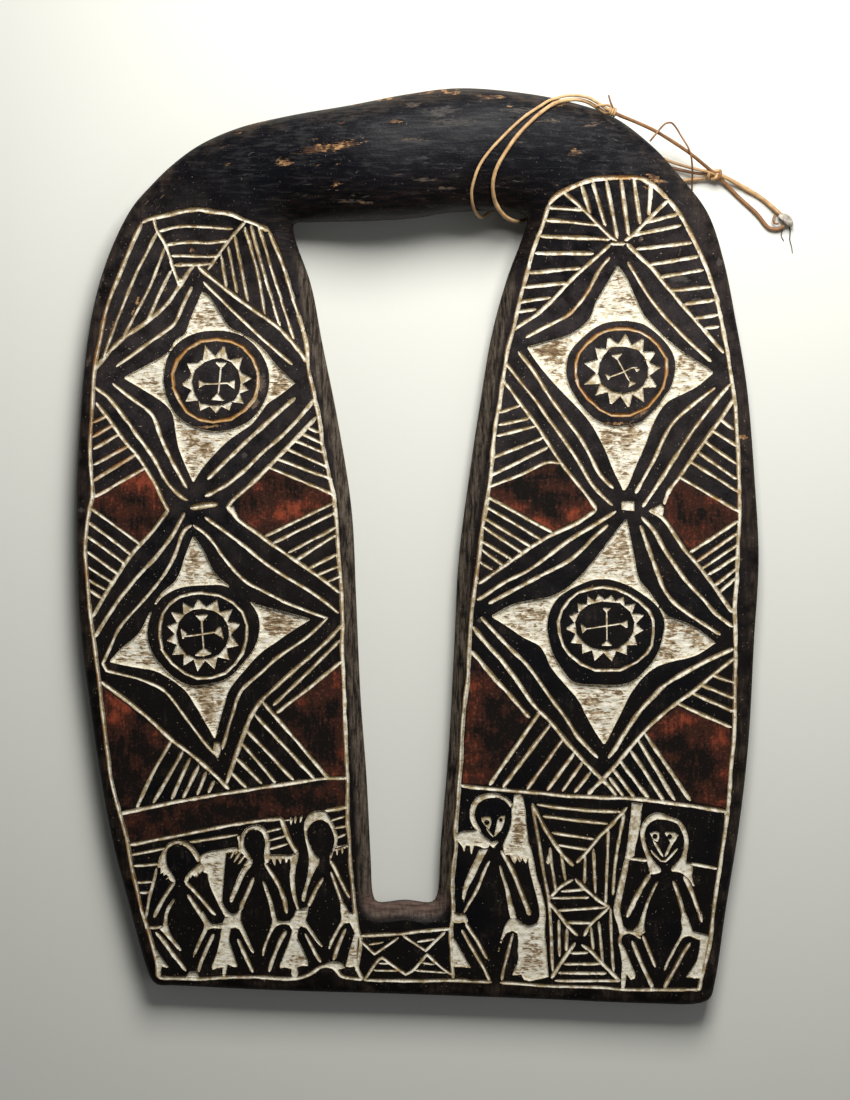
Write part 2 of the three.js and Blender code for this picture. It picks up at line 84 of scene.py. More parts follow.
def catmull(points, per_span):
    """Centripetal Catmull-Rom curve through the points."""
    p = np.asarray(points, float)
    if len(p) < 3:
        return p
    ext = np.vstack([2 * p[0] - p[1], p, 2 * p[-1] - p[-2]])
    out = []
    for k in range(1, len(ext) - 2):
        a, b, c, d = ext[k - 1 : k + 3]
        t0 = 0.0
        t1 = t0 + np.linalg.norm(b - a) ** 0.5 + 1e-9
        t2 = t1 + np.linalg.norm(c - b) ** 0.5 + 1e-9
        t3 = t2 + np.linalg.norm(d - c) ** 0.5 + 1e-9
        t = np.linspace(t1, t2, per_span, endpoint=False)[:, None]
        a1 = (t1 - t) / (t1 - t0) * a + (t - t0) / (t1 - t0) * b
        a2 = (t2 - t) / (t2 - t1) * b + (t - t1) / (t2 - t1) * c
        a3 = (t3 - t) / (t3 - t2) * c + (t - t2) / (t3 - t2) * d
        b1 = (t2 - t) / (t2 - t0) * a1 + (t - t0) / (t2 - t0) * a2
        b2 = (t3 - t) / (t3 - t1) * a2 + (t - t1) / (t3 - t1) * a3
        out.append((t2 - t) / (t2 - t1) * b1 + (t - t1) / (t2 - t1) * b2)
    out.append(p[-1:])
    return np.vstack(out)


def catmull_loop(points, per_span):
    p = np.asarray(points, float)
    n = len(p)
    wide = np.vstack([p[-3:], p, p[:4]])
    curve = catmull(wide, per_span)
    return curve[3 * per_span : (3 + n) * per_span]


def resample(p, step):
    seg = np.linalg.norm(np.diff(p, axis=0), axis=1)
    s = np.concatenate([[0], np.cumsum(seg)])
    n = max(1, int(round(s[-1] / step)))
    t = np.linspace(0, s[-1], n + 1)
    return np.column_stack([np.interp(t, s, p[:, 0]), np.interp(t, s, p[:, 1])])


def cut_line(points, step, corner=38.0):
    """The line a hand draws through the points: smooth, but sharp where it turns hard."""
    p = np.asarray(points, float)
    breaks = [0]
    for k in range(1, len(p) - 1):
        a, b = p[k] - p[k - 1], p[k + 1] - p[k]
        turn = abs(math.degrees(math.atan2(a[0] * b[1] - a[1] * b[0], a @ b)))
        if turn > corner:
            breaks.append(k)
    breaks.append(len(p) - 1)
    out = []
    for a, b in zip(breaks[:-1], breaks[1:]):
        piece = resample(catmull(p[a : b + 1], 10), step)
        out.append(piece if not out else piece[1:])
    return np.vstack(out)


def to_segments(P, line, closed=False):
    """For each point: distance to each segment of the line, and how far along each it falls."""
    A = line if closed else line[:-1]
    B = np.roll(line, -1, axis=0) if closed else line[1:]
    AB = B - A
    L = (AB**2).sum(1) + 1e-12
    d2 = P[:, None, :] - A[None]
    t = np.clip((d2 * AB[None]).sum(2) / L, 0, 1)
    q = d2 - t[..., None] * AB[None]
    return np.sqrt((q**2).sum(2)), t


def line_distance(P, line, closed=True):
    out = np.empty(len(P))
    for k in range(0, len(P), 4000):
        out[k : k + 4000] = to_segments(P[k : k + 4000], line, closed)[0].min(1)
    return out


def inside(P, loop):
    out = np.zeros(len(P), bool)
    x, y = P[:, 0], P[:, 1]
    a = loop
    b = np.roll(loop, -1, axis=0)
    for (x1, y1), (x2, y2) in zip(a, b):
        if y1 == y2:
            continue
        hit = (y1 > y) != (y2 > y)
        out ^= hit & (x < (x2 - x1) * (y - y1) / (y2 - y1) + x1)
    return out


def table(text):
    return [
        np.array([[float(v) for v in q.split(",")] for q in part.split()])
        for part in text.split(";")
    ]


# ---- sizes of the board, as its solid has them ----------------------------
PANEL_THICKNESS, BAR_THICKNESS, BAR_LIFT = 21.0, 58.0, 6.0
BAR_ROUNDNESS, BAR_EDGE_HALF, BAR_MIDLINE = 2.15, 1.6, 0.47
RIM_WIDTH, RIM_DROP, RIM_ROUND = 13.0, 2.2, 4.0
BEVEL_WIDTH, BEVEL_DROP, BEVEL_ROUND, BACK_ROUND = 11.0, 8.5, 1.5, 3.0
FAN_CENTRE_Y = 144.9
OUTLINE = table("24.6,300.9 -7.0,297.0 -44.5,289.8 -84.0,283.5 -118.3,275.9 -143.3,265.4 -161.8,252.2 -176.2,238.4 -187.4,225.9 -197.3,208.7 -207.2,185.0 -215.1,156.1 -219.7,124.4 -223.0,84.9 -225.3,38.8 -225.0,-13.9 -222.3,-60.0 -217.1,-99.5 -209.8,-148.9 -201.9,-191.7 -191.4,-232.5 -180.2,-273.4 -176.2,-283.9 -172.3,-287.8 -159.8,-288.5 -90.6,-291.8 -11.6,-294.1 87.2,-297.7 153.1,-300.4 185.3,-300.4 193.2,-297.1 196.5,-286.5 203.8,-237.8 213.0,-179.8 218.9,-125.8 222.5,-60.0 225.5,-7.3 222.9,45.4 217.6,108.0 210.4,150.8 202.5,189.0 191.3,221.3 174.1,243.6 153.7,265.4 128.0,283.8 97.1,293.4 60.9,299.0")[0]
OPENING = table("-1.7,217.0 -28.1,215.3 -70.9,215.0 -81.4,214.0 -81.1,206.1 -70.9,175.8 -63.6,137.6 -53.1,84.9 -43.9,25.7 -40.9,-33.6 -37.9,-99.5 -34.0,-152.2 -31.3,-204.9 -29.7,-229.9 -27.4,-234.5 -8.3,-233.5 9.5,-234.8 12.8,-230.5 15.4,-195.0 20.7,-132.4 24.3,-66.6 27.3,-7.3 33.9,45.4 41.8,98.1 49.7,144.2 59.5,179.8 67.4,200.8 72.1,217.0 68.8,220.6 47.7,221.9 21.3,220.6")[0]
outline, opening = catmull_loop(OUTLINE, 10), catmull_loop(OPENING, 10)


def surfaces(P):
    """Front and back heights of the board at the points, with the distances to its two edges."""
    d_out, d_in = line_distance(P, outline), line_distance(P, opening)
    angle = np.degrees(np.arctan2(np.abs(P[:, 0]), P[:, 1] - FAN_CENTRE_Y))

    def fade(a, b):
        return smooth((a - angle) / (a - b))

    def arris(d, r):
        return np.where(d < r, r - np.sqrt(np.maximum(r * r - (r - d) ** 2, 0)), 0)

    top = PANEL_THICKNESS + (BAR_THICKNESS - PANEL_THICKNESS) * fade(88, 12)
    low = BAR_LIFT * fade(82, 50)
    w = fade(78, 46)
    rim = RIM_DROP * np.maximum(0, 1 - d_out / RIM_WIDTH) ** 1.6 + arris(d_out, RIM_ROUND)
    bevel = BEVEL_DROP * np.maximum(0, 1 - d_in / BEVEL_WIDTH) ** 1.1 + arris(d_in, BEVEL_ROUND)
    panel_front = top - rim - bevel
    panel_back = low + arris(d_out, BACK_ROUND) + arris(d_in, BACK_ROUND)
    s = d_out / np.maximum(d_out + d_in, 1e-6)
    bow = np.maximum(0, 1 - np.abs(2 * s - 1) ** BAR_ROUNDNESS) ** (1 / BAR_ROUNDNESS)
    mid = low + BAR_MIDLINE * (top - low)
    bar_front = mid + BAR_EDGE_HALF + (top - mid - BAR_EDGE_HALF) * bow
    bar_back = mid - BAR_EDGE_HALF - (mid - BAR_EDGE_HALF - low) * bow
    front = panel_front + (bar_front - panel_front) * w
    back = panel_back + (bar_back - panel_back) * w
    return front, back, d_out, d_in, w


# ---- the cutting: grooves, star fields and patches ------------------------
# width, how ochre its edges are, and the lines, in millimetres from the middle of the board
GROOVES = [
    (3.03, 0.35, "-180.9,214.0 -176.9,216.3 -169.7,218.0 -157.1,220.6 -149.2,221.9 -142.0,222.2 -132.8,220.6 -122.2,219.0 -114.7,215.7 -106.4,212.7 -97.2,208.4"),
    (2.77, 0.25, "-97.2,208.4 -91.3,194.3 -86.0,179.1 -80.7,161.3 -76.8,148.8 -73.0,132.3 -72.2,119.8 -68.9,104.7 -65.9,91.5 -64.3,81.6 -62.3,67.1 -59.0,50.7 -55.7,36.8 -53.7,20.4 -53.1,9.8 -51.8,-7.9 -50.4,-27.7 -49.5,-49.4 -49.8,-60.0 -48.5,-95.5 -47.2,-131.1 -46.2,-154.8 -46.2,-178.5 -45.2,-190.4 -44.2,-207.5 -42.2,-228.6 -39.5,-249.6 -37.6,-257.5 -38.6,-267.4 -40.2,-276.0 -36.0,-283.9"),
    (2.77, 0.45, "-180.9,214.0 -186.4,203.5 -194.7,183.7 -201.3,168.6 -205.9,154.7 -208.5,141.6 -211.3,127.7 -213.1,115.9 -214.1,98.1 -215.1,83.0 -215.8,67.1 -215.1,50.7 -214.1,35.5 -215.8,27.6 -217.9,14.5 -219.1,-0.7 -217.9,-15.8 -216.7,-31.6 -215.1,-46.8 -213.1,-60.6 -210.5,-81.0 -207.6,-107.4 -204.6,-131.1 -201.3,-154.8 -196.9,-171.3 -191.4,-191.7 -188.1,-210.8 -184.8,-224.6 -181.5,-238.4 -177.2,-251.6 -173.6,-265.4 -171.0,-277.3 -171.0,-282.6;81.2,-106.5 47.3,-155.5;87.2,-115.8 56.0,-157.0;95.8,-125.2 71.9,-158.4;103.1,-134.5 85.2,-159.0;108.5,-140.4 95.2,-159.4;113.8,-147.1 103.1,-160.4"),
    (2.37, 0.10, "-173.3,216.6 -170.6,208.7 -165.4,199.5 -161.1,185.7 -156.8,173.8;-112.4,214.0 -124.2,201.5 -138.0,183.7;-128.8,-132.1 -122.9,-112.0 -118.3,-97.5 -115.0,-91.9 -104.1,-82.4 -92.6,-71.8 -75.5,-60.0 -68.2,-54.0 -59.7,-45.5 -84.0,-36.3 -101.5,-27.7 -112.4,-21.8 -124.2,-9.9 -138.0,8.5 -147.9,15.8;53.9,89.8 67.7,94.5;53.0,81.6 73.6,86.2;52.0,74.5 77.7,81.0;48.2,59.7 82.5,73.3;48.2,48.4 86.0,67.3;47.0,41.1 67.4,48.7 86.0,57.3 94.3,56.5;46.3,34.4 88.7,11.0;45.6,27.7 81.7,6.2;44.4,20.4 74.8,1.5;43.1,14.8 69.1,-2.3;42.4,5.2 62.1,-6.8;42.4,-0.4 56.4,-10.6;41.2,-8.6 49.5,-13.7;31.5,-246.0 34.5,-251.0 39.1,-257.5 42.4,-263.5 46.0,-270.1;29.2,-251.0 34.5,-260.2 39.8,-269.4 44.4,-277.3 47.7,-284.5"),
    (2.37, 0.05, "-169.7,208.7 -157.1,211.4 -144.0,211.4 -120.9,209.7;-165.4,199.9 -148.6,201.5 -138.0,200.8 -124.2,202.2;-161.8,192.9 -132.8,192.5 -128.8,193.6;-160.1,186.7 -148.6,187.0 -136.1,187.7"),
    (2.24, 0.20, "-171.0,208.1 -187.4,176.5 -202.8,138.3 -206.9,126.7;-166.0,198.2 -175.9,173.8 -186.4,154.1 -194.9,137.0;-161.8,183.7 -169.7,168.6 -178.2,150.1;98.3,-245.9 114.8,-246.3;92.9,-244.4 93.5,-268.7;98.3,-250.3 97.8,-264.8;114.1,-249.3 115.8,-264.1;119.3,-245.4 121.8,-272.6;127.1,-236.7 127.6,-259.0 129.1,-278.4"),
    (2.37, 0.12, "-128.8,192.3 -125.8,171.9;-124.2,198.2 -118.9,168.6;-119.6,205.1 -111.7,163.3;-113.0,210.4 -109.1,197.2 -104.5,178.4 -100.5,154.7;-109.1,212.0 -104.1,192.9 -96.2,165.3 -90.6,146.8;-103.8,211.4 -97.9,191.0 -88.3,160.0 -81.4,138.3"),
    (2.90, 0.15, "-146.9,186.2 -149.5,183.7 -156.9,173.2 -166.4,160.0 -178.9,149.5 -194.7,138.3 -209.2,122.8 -213.1,117.9;-144.2,185.7 -125.5,170.5 -110.4,159.3 -91.3,145.5 -78.8,131.7 -72.8,123.1;-67.6,99.4 -75.5,89.5 -87.3,76.4 -101.8,63.9 -112.4,53.3 -123.6,44.1 -134.7,37.2 -140.0,34.9;-80.7,99.7 -95.9,86.2 -110.4,73.1 -123.6,60.6 -138.4,46.1;-66.9,86.9 -79.4,73.7 -89.3,63.2 -98.5,54.0 -109.1,43.4 -121.6,32.2 -124.9,27.6 -118.6,20.7;-208.8,-87.0 -192.7,-98.8 -174.9,-113.3 -161.1,-126.2 -145.3,-138.0 -132.8,-149.5 -124.2,-158.1;-49.8,-50.1 -59.2,-60.0 -68.9,-68.9 -82.7,-81.0 -94.6,-91.9 -103.1,-100.1 -109.1,-108.7 -113.7,-120.2 -119.6,-135.7 -124.2,-149.5 -126.2,-154.8;-61.0,-172.6 -54.4,-171.3 -46.5,-169.6"),
    (2.50, 0.30, "-148.6,172.5 -154.5,160.7 -160.0,148.8 -166.4,143.5 -182.8,131.7 -198.6,120.2;-140.7,175.8 -122.2,157.4 -102.5,138.9 -82.4,121.5;57.0,111.1 67.1,96.9 80.1,79.2 90.8,62.6 100.2,49.6 109.7,37.8 118.0,26.0;195.9,106.4 180.6,94.5 168.8,83.9 162.9,74.5 155.8,59.1 148.6,46.1 143.4,36.7"),
    (2.77, 0.15, "-212.5,106.7 -203.9,100.1 -194.0,88.2 -186.1,77.0 -174.9,61.9 -164.4,43.4 -156.5,35.5 -151.5,32.2;-200.9,109.3 -189.4,100.1 -176.2,90.2 -172.9,84.9 -168.3,71.8 -161.8,58.6 -151.9,40.5;-211.8,96.5 -204.6,87.6 -194.7,73.7 -184.8,61.9 -178.2,52.0 -172.9,43.4 -167.7,32.2 -163.7,25.0;-164.4,25.3 -172.3,14.5 -188.1,-3.3 -200.6,-21.8 -214.4,-44.8;-153.5,23.7 -161.8,8.5 -173.6,-6.6 -186.8,-20.8 -199.6,-37.6 -212.5,-58.0;206.0,108.8 194.7,95.7 183.0,80.4 171.1,62.6 160.5,46.1 153.4,35.5 148.1,27.8;208.4,99.3 200.7,87.4 191.3,74.5 181.8,61.4 172.3,47.3 165.2,37.8 162.3,29.6"),
    (3.95, 0.00, "-149.6,27.0 -140.7,28.6 -131.8,29.6"),
    (2.50, 0.75, "-214.1,83.3 -205.2,87.6;-214.4,73.7 -200.6,81.6;-213.8,65.8 -195.3,76.4;-213.8,55.3 -190.7,67.8;-213.8,44.8 -185.5,62.5;-213.1,34.2 -202.6,40.1 -179.5,53.6"),
    (2.37, 0.25, "-72.5,80.0 -64.9,76.7;-76.8,76.4 -63.0,69.8;-81.4,71.8 -61.0,63.2;-86.7,66.5 -59.0,54.0;-93.9,59.9 -56.4,46.1;-97.9,54.0 -55.7,36.2"),
    (2.37, 0.15, "-215.8,27.6 -182.8,3.3;-216.7,17.7 -188.4,-3.7;-217.9,8.8 -192.7,-9.6;-217.9,-1.4 -196.7,-16.5;-216.7,-11.9 -201.3,-21.8;-216.4,-20.4 -205.2,-27.0;-216.4,-26.7 -207.9,-32.6;-100.5,8.5 -55.4,30.3;-95.2,3.9 -55.1,23.7;-85.4,-2.7 -53.7,14.5;-80.7,-7.9 -53.1,9.8;-72.2,-13.2 -53.1,-3.3;-66.3,-17.2 -51.8,-11.2;-59.7,-21.8 -51.1,-17.8;133.3,-260.8 133.3,-256.2 135.3,-253.3 139.2,-251.9 143.8,-253.6 147.1,-256.6"),
    (2.63, 0.20, "-140.0,21.0 -118.9,5.9 -95.6,-12.5 -72.2,-26.7 -60.3,-34.9 -51.8,-42.2;-124.2,28.3 -118.9,20.4 -107.4,11.8 -94.6,2.6 -76.8,-9.9 -61.3,-20.8 -51.1,-29.0;66.5,130.0 76.6,117.0 87.2,100.5 99.1,83.9 107.3,73.3 113.2,62.6 119.1,50.8 123.9,44.9 129.2,39.9;58.2,122.9 67.1,111.1 77.7,98.1 88.4,82.8 97.9,69.8 107.3,55.6 114.4,43.7 122.7,34.2 128.6,28.9"),
    (2.24, 0.10, "-148.6,15.8 -153.5,12.5 -160.4,-5.3 -169.0,-19.8 -182.8,-36.3 -196.0,-51.4 -201.9,-63.3 -207.2,-75.1 -204.6,-80.1 -192.7,-83.0 -180.9,-86.3 -169.0,-91.6 -163.1,-96.8 -156.2,-106.1 -146.6,-119.2 -139.4,-128.5 -132.8,-135.7;88.6,-186.7 116.2,-191.0;92.5,-194.9 111.9,-197.8;87.1,-196.8 88.6,-210.5 91.0,-225.0;94.4,-200.7 97.3,-218.2;94.4,-225.5 109.9,-224.2;87.6,-229.9 112.9,-229.4;125.7,-185.2 124.7,-210.5 123.8,-233.8;135.9,-174.5 131.0,-200.7 128.6,-227.9;100.7,-266.3 112.9,-265.8;96.4,-273.4 121.8,-273.1;92.5,-279.0 124.2,-279.4;90.5,-284.3 134.0,-284.3;-172.0,-210.1 -172.9,-215.4 -174.9,-222.6 -176.9,-229.9 -178.2,-237.8 -179.2,-243.1;-177.6,-249.3 -172.9,-249.3 -168.3,-248.3;47.4,-205.5 43.7,-212.8 40.4,-221.3 37.1,-227.9 33.5,-233.8 30.6,-239.4;62.8,-253.6 60.2,-262.8 58.2,-270.7 56.2,-278.6 55.3,-284.5"),
    (2.50, 0.15, "-51.1,-60.0 -70.9,-79.7 -95.2,-103.1;-49.8,-73.5 -70.9,-90.9 -92.9,-107.8;86.1,-231.9 92.5,-239.6 100.2,-249.3 105.6,-254.6;109.5,-255.1 113.5,-247.9 120.1,-241.5 126.7,-235.7;103.7,-259.5 96.4,-269.7 88.1,-282.8;108.0,-260.5 113.5,-264.4 123.2,-274.5 133.4,-284.3;-57.0,-212.8 -54.4,-219.3 -52.1,-225.9 -50.4,-231.2 -49.1,-236.5;-47.5,-250.3 -50.4,-256.9 -53.1,-263.5 -55.4,-270.7;-62.3,-216.7 -66.3,-223.3 -69.5,-229.9 -72.2,-235.8;-73.8,-253.6 -70.2,-260.2 -66.9,-266.8 -63.6,-272.0"),
    (2.63, 0.10, "-101.8,-100.8 -80.1,-125.8 -58.6,-150.9;-107.1,-109.0 -67.6,-151.5;-112.4,-119.2 -81.7,-152.2;-115.7,-127.8 -93.3,-154.1;-119.6,-137.4 -102.5,-154.5;-122.2,-147.6 -112.4,-157.1;193.6,-82.6 208.9,-88.2;186.3,-89.2 209.6,-98.6;180.3,-94.5 209.6,-107.6;171.0,-101.5 206.9,-117.5;78.8,-168.2 99.1,-170.9 120.1,-172.6 134.0,-173.0;82.7,-175.9 100.4,-178.2 120.1,-180.4 125.2,-181.0;-159.8,-219.3 -162.4,-222.6 -166.4,-228.6 -170.3,-235.8 -173.6,-242.7;-152.9,-219.3 -148.6,-223.3 -144.0,-228.6 -139.4,-233.8 -135.4,-238.4 -133.1,-240.8;-134.4,-253.6 -137.4,-260.2 -140.3,-266.8 -143.0,-273.4 -144.3,-278.6;-108.1,-216.7 -110.4,-222.6 -113.0,-228.6 -115.7,-234.5 -116.6,-238.4"),
    (2.63, 0.15, "-162.1,-126.2 -172.9,-144.9 -185.1,-170.6;-154.5,-133.1 -174.3,-167.3;-149.9,-138.0 -162.1,-164.7;-144.3,-142.9 -154.5,-164.0;-139.4,-146.9 -145.3,-162.0;-134.1,-152.8 -138.0,-161.1;-195.7,-174.3 -163.1,-167.3 -127.5,-161.1 -92.6,-155.7 -59.0,-150.9 -47.2,-150.9;-190.5,-195.0 -149.9,-187.1 -113.0,-180.1 -89.3,-177.5;-37.7,-254.8 -23.6,-254.0 -10.5,-253.5 -1.7,-252.1 9.3,-251.2 21.3,-250.2;-35.4,-283.9 -15.4,-284.2 3.8,-284.4 23.0,-283.9 34.5,-284.2"),
    (2.11, 0.15, "-188.8,-201.6 -166.4,-197.0;-186.8,-208.8 -171.0,-207.5;-184.8,-219.7 -174.9,-219.3;-182.8,-226.6 -176.9,-225.9;-149.9,-193.0 -118.3,-188.1"),
    (2.11, 0.20, "-37.9,-257.5 -28.3,-266.9 -12.7,-255.9;-9.9,-254.5 5.4,-264.7 18.0,-252.1"),
    (2.11, 0.25, "-35.4,-284.4 -25.3,-270.2 -23.1,-269.1 -18.2,-272.9 -11.6,-277.6 -7.8,-280.3 -3.4,-277.8 1.6,-272.4 6.3,-266.9 10.9,-271.2 16.4,-276.2 23.0,-280.6"),
    (1.71, 0.35, "-31.9,-260.6 -22.6,-258.9;-0.1,-258.7 11.5,-256.9;-25.9,-272.9 -18.7,-272.9;-29.2,-277.4 -12.7,-277.6;2.7,-272.6 10.9,-273.5;-1.7,-277.6 19.2,-279.2"),
    (3.16, 0.55, "85.4,224.5 88.3,227.9 95.1,232.7 102.5,236.4 108.3,239.0 115.1,241.0 124.1,241.8 133.3,242.5 143.6,242.7 148.1,241.7 153.7,238.8 158.3,234.8 164.1,229.6"),
    (2.90, 0.35, "164.1,229.6 170.8,221.7 175.5,214.2 181.2,204.0 185.7,194.9 190.3,184.6 193.7,175.5 196.5,166.4 198.8,156.1 201.1,144.7 204.2,128.9 206.6,113.4 209.0,96.9 210.2,79.2 211.3,61.4 211.7,43.7 212.1,26.0 212.2,19.9 210.9,0.8 210.3,-18.1 209.0,-37.2 209.3,-56.1 209.3,-75.1 209.0,-91.6 208.9,-106.5 208.2,-126.5 206.2,-146.4 204.8,-166.7 202.5,-186.2 199.0,-210.5 196.6,-225.0 194.2,-244.4 192.7,-259.0 189.3,-273.6 186.4,-285.2 185.4,-291.1"),
    (2.90, 0.30, "85.4,224.5 84.3,219.9 81.9,212.0 78.6,204.0 75.1,193.7 72.3,182.4 68.9,170.9 66.1,158.4 62.6,143.5 59.5,132.3 56.4,112.3 54.1,96.9 51.2,81.6 49.4,63.9 48.2,49.6 46.4,37.8 44.7,26.0 42.5,13.5 40.6,-5.5 37.4,-27.0 35.5,-43.5 34.2,-62.5 33.0,-87.8 31.3,-99.9 29.4,-119.8 28.7,-139.8 27.6,-152.2 26.4,-171.6 25.0,-186.2 25.4,-195.9 23.5,-210.5 23.0,-225.0 23.3,-239.6 22.1,-249.3 22.3,-263.9 23.0,-278.4 23.5,-283.2;208.2,-72.0 194.9,-82.6 183.0,-92.6 168.3,-103.2 157.7,-111.9 149.7,-119.8 140.4,-130.4 131.1,-141.8 123.1,-150.4 116.4,-157.0 111.8,-161.7;-172.3,-252.3 -168.3,-256.6 -165.0,-261.2 -161.1,-266.8 -156.5,-272.7 -152.5,-278.0"),
    (2.50, 0.20, "14.8,-283.8 34.2,-284.7 48.7,-285.2;54.6,-285.5 87.6,-287.7 120.1,-288.6 135.9,-289.9 162.1,-290.1 185.4,-290.1"),
    (2.77, 0.05, "95.1,232.7 110.9,219.3 127.6,204.0 131.0,202.2;164.1,228.5 151.5,216.5 141.2,206.2 135.6,202.2;126.5,200.3 136.6,200.3"),
    (2.90, 0.05, "106.8,237.1 112.8,219.3;114.2,239.0 123.0,211.4;123.0,240.5 131.0,203.5;132.6,242.2 138.4,205.7;141.2,242.2 145.8,213.1;152.7,239.3 151.5,218.8"),
    (2.63, 0.05, "85.9,222.6 108.3,221.3;83.7,214.8 119.5,212.0;80.3,204.5 126.5,203.1;76.9,193.7 115.5,193.9;72.9,181.2 107.0,184.4;69.4,171.9 98.4,174.9;66.7,162.4 87.7,165.5;66.1,156.3 78.0,158.0;149.1,214.2 170.8,219.9;140.2,205.7 173.2,212.7;143.6,196.9 180.1,201.5;152.7,187.1 184.8,192.6;159.5,178.9 188.2,183.8;165.8,170.3 193.5,172.7;175.5,161.3 195.4,164.1;182.3,151.9 197.7,154.4;189.1,145.6 198.8,146.6"),
    (2.77, 0.20, "126.5,200.0 118.5,192.6 110.5,185.7 102.5,178.4 93.4,168.6 86.5,161.8 77.5,153.8 69.4,148.8 62.0,143.5;137.3,200.6 147.0,191.4 153.7,185.7 162.9,174.4 170.8,165.3 181.2,152.8 191.5,141.3 201.8,129.1;-171.0,-282.6 -155.2,-282.9 -143.3,-283.2 -126.8,-282.2 -107.7,-281.9 -91.9,-282.6 -80.1,-282.9 -70.9,-279.9 -63.3,-275.0 -58.4,-274.3 -54.4,-276.0 -49.5,-281.3 -43.2,-282.6 -36.0,-283.6"),
    (2.50, 0.45, "125.9,191.4 119.6,183.5 112.8,170.9 107.1,162.4 99.1,154.4 90.0,149.3 80.9,144.7 71.2,139.3;138.4,188.6 143.6,180.0 151.5,167.5 159.5,157.2 169.8,145.8 181.2,134.5 193.6,123.5"),
    (2.50, 0.10, "198.9,86.2 208.4,78.6;194.2,78.0 211.3,67.3;188.3,71.5 210.2,56.1;184.7,63.9 210.2,46.1;179.4,57.9 211.3,37.8;172.9,47.3 211.9,24.8;179.3,-2.3 210.9,18.5;186.8,-13.1 210.3,2.7;191.3,-16.9 210.3,-4.8;198.9,-28.3 209.0,-19.5;139.2,-203.9 145.2,-204.5 151.7,-205.2;179.4,-207.2 186.0,-208.2 192.6,-209.5 197.2,-210.5"),
    (2.37, 0.60, "184.3,-8.1 210.3,10.3;195.7,-23.9 209.7,-13.1"),
    (2.77, 0.10, "117.8,26.0 103.9,16.7 88.7,9.7 74.8,1.5 62.1,-7.4 50.7,-15.6 40.0,-22.9;125.4,16.0 116.6,8.4 108.9,0.2 100.1,-7.4 88.7,-13.7 74.8,-20.7 60.9,-28.3 46.9,-35.9;149.7,-121.1 179.7,-165.7;145.7,-125.8 169.7,-165.7;140.4,-132.5 162.3,-165.7;133.1,-139.1 152.4,-164.4;129.1,-145.1 143.0,-163.7;126.5,-150.4 135.7,-163.0;75.9,-168.2 84.7,-185.2 94.4,-199.8 102.7,-208.5;104.6,-206.6 110.4,-200.7 120.1,-189.1 124.2,-185.2 137.8,-170.1;104.1,-217.2 111.9,-225.0 120.1,-231.9 123.2,-233.8 126.7,-235.7;102.1,-217.8 94.4,-222.1 87.6,-228.9;-151.2,-227.6 -147.9,-232.5 -144.3,-237.8 -141.3,-242.4 -139.4,-245.7;-100.5,-206.8 -98.5,-210.1 -93.9,-216.7 -90.0,-224.6 -87.3,-233.2 -86.3,-239.8;-86.7,-251.6 -90.0,-257.5 -93.3,-264.8 -95.9,-271.4 -97.9,-278.3;-118.3,-256.9 -115.0,-264.1 -111.7,-271.4 -108.4,-278.6;-57.4,-204.9 -54.4,-210.1 -51.1,-217.4 -47.8,-224.0 -44.5,-229.9;168.5,-218.7 170.5,-224.0 172.8,-231.2 174.8,-238.4 176.1,-244.4;141.5,-258.2 143.8,-264.1 146.5,-270.7 149.8,-278.0 153.1,-284.5 154.7,-289.8;179.4,-259.5 175.5,-265.4 171.5,-272.7 167.5,-279.9 163.6,-286.5 162.3,-289.8"),
    (2.77, 0.35, "130.5,24.9 116.6,16.0 103.9,8.4 93.8,1.5 82.4,-7.4 71.0,-15.0 57.0,-22.0 46.9,-28.9 39.3,-33.4"),
    (2.77, 0.30, "147.0,15.4 150.8,4.6 155.8,-9.3 162.1,-25.7 169.8,-35.9 179.9,-43.5 191.3,-51.1 199.6,-56.4;152.7,25.5 160.9,21.1 168.5,11.0 176.1,-0.4 183.7,-9.3 192.6,-20.7 198.9,-29.5 207.7,-42.2;41.9,-44.8 48.2,-51.7 59.5,-63.8 72.2,-76.4 87.2,-97.2 97.9,-111.9 105.8,-123.8 113.8,-132.4 118.8,-137.4"),
    (2.90, 0.10, "147.6,21.1 155.8,12.2 162.1,0.8 169.8,-10.6 177.4,-21.3 187.5,-32.1 196.4,-42.2 207.7,-51.3;175.8,-215.4 178.7,-221.3 181.4,-227.9 183.7,-234.5 185.7,-240.4 187.0,-245.7"),
    (3.03, 0.15, "36.8,-51.1 44.7,-61.3 56.6,-74.6 67.2,-89.2 76.6,-102.5 87.2,-113.2 97.9,-126.5 108.5,-138.4 117.8,-147.8 127.1,-157.0 131.1,-162.4;35.5,-66.9 48.6,-82.6 61.9,-97.2 73.9,-111.1"),
    (3.16, 0.10, "208.2,-65.6 190.9,-73.3 175.0,-81.9 161.7,-90.5 152.4,-99.9 144.4,-109.2 136.4,-121.1 130.4,-131.1 125.5,-137.7"),
    (2.90, 0.25, "28.7,-155.7 44.7,-157.7 71.3,-159.7 97.9,-162.4 124.4,-163.7 144.4,-164.4 164.3,-167.1 184.3,-169.7 203.6,-173.0"),
    (2.24, 0.35, "75.5,-167.7 78.8,-186.2 82.7,-210.5 86.1,-229.9 87.1,-239.6 88.1,-259.0 89.0,-278.4"),
    (2.24, 0.40, "92.5,-238.1 120.1,-236.2 124.2,-235.8;110.4,-201.7 109.9,-220.1;115.8,-197.8 117.1,-226.6"),
    (1.98, 0.20, "-100.2,-186.4 -90.0,-184.1;-98.5,-192.0 -87.3,-189.1;-97.5,-197.6 -85.4,-194.0;-57.7,-179.2 -47.8,-176.2;-55.3,-184.1 -47.2,-182.5;-53.7,-190.4 -47.2,-187.7"),
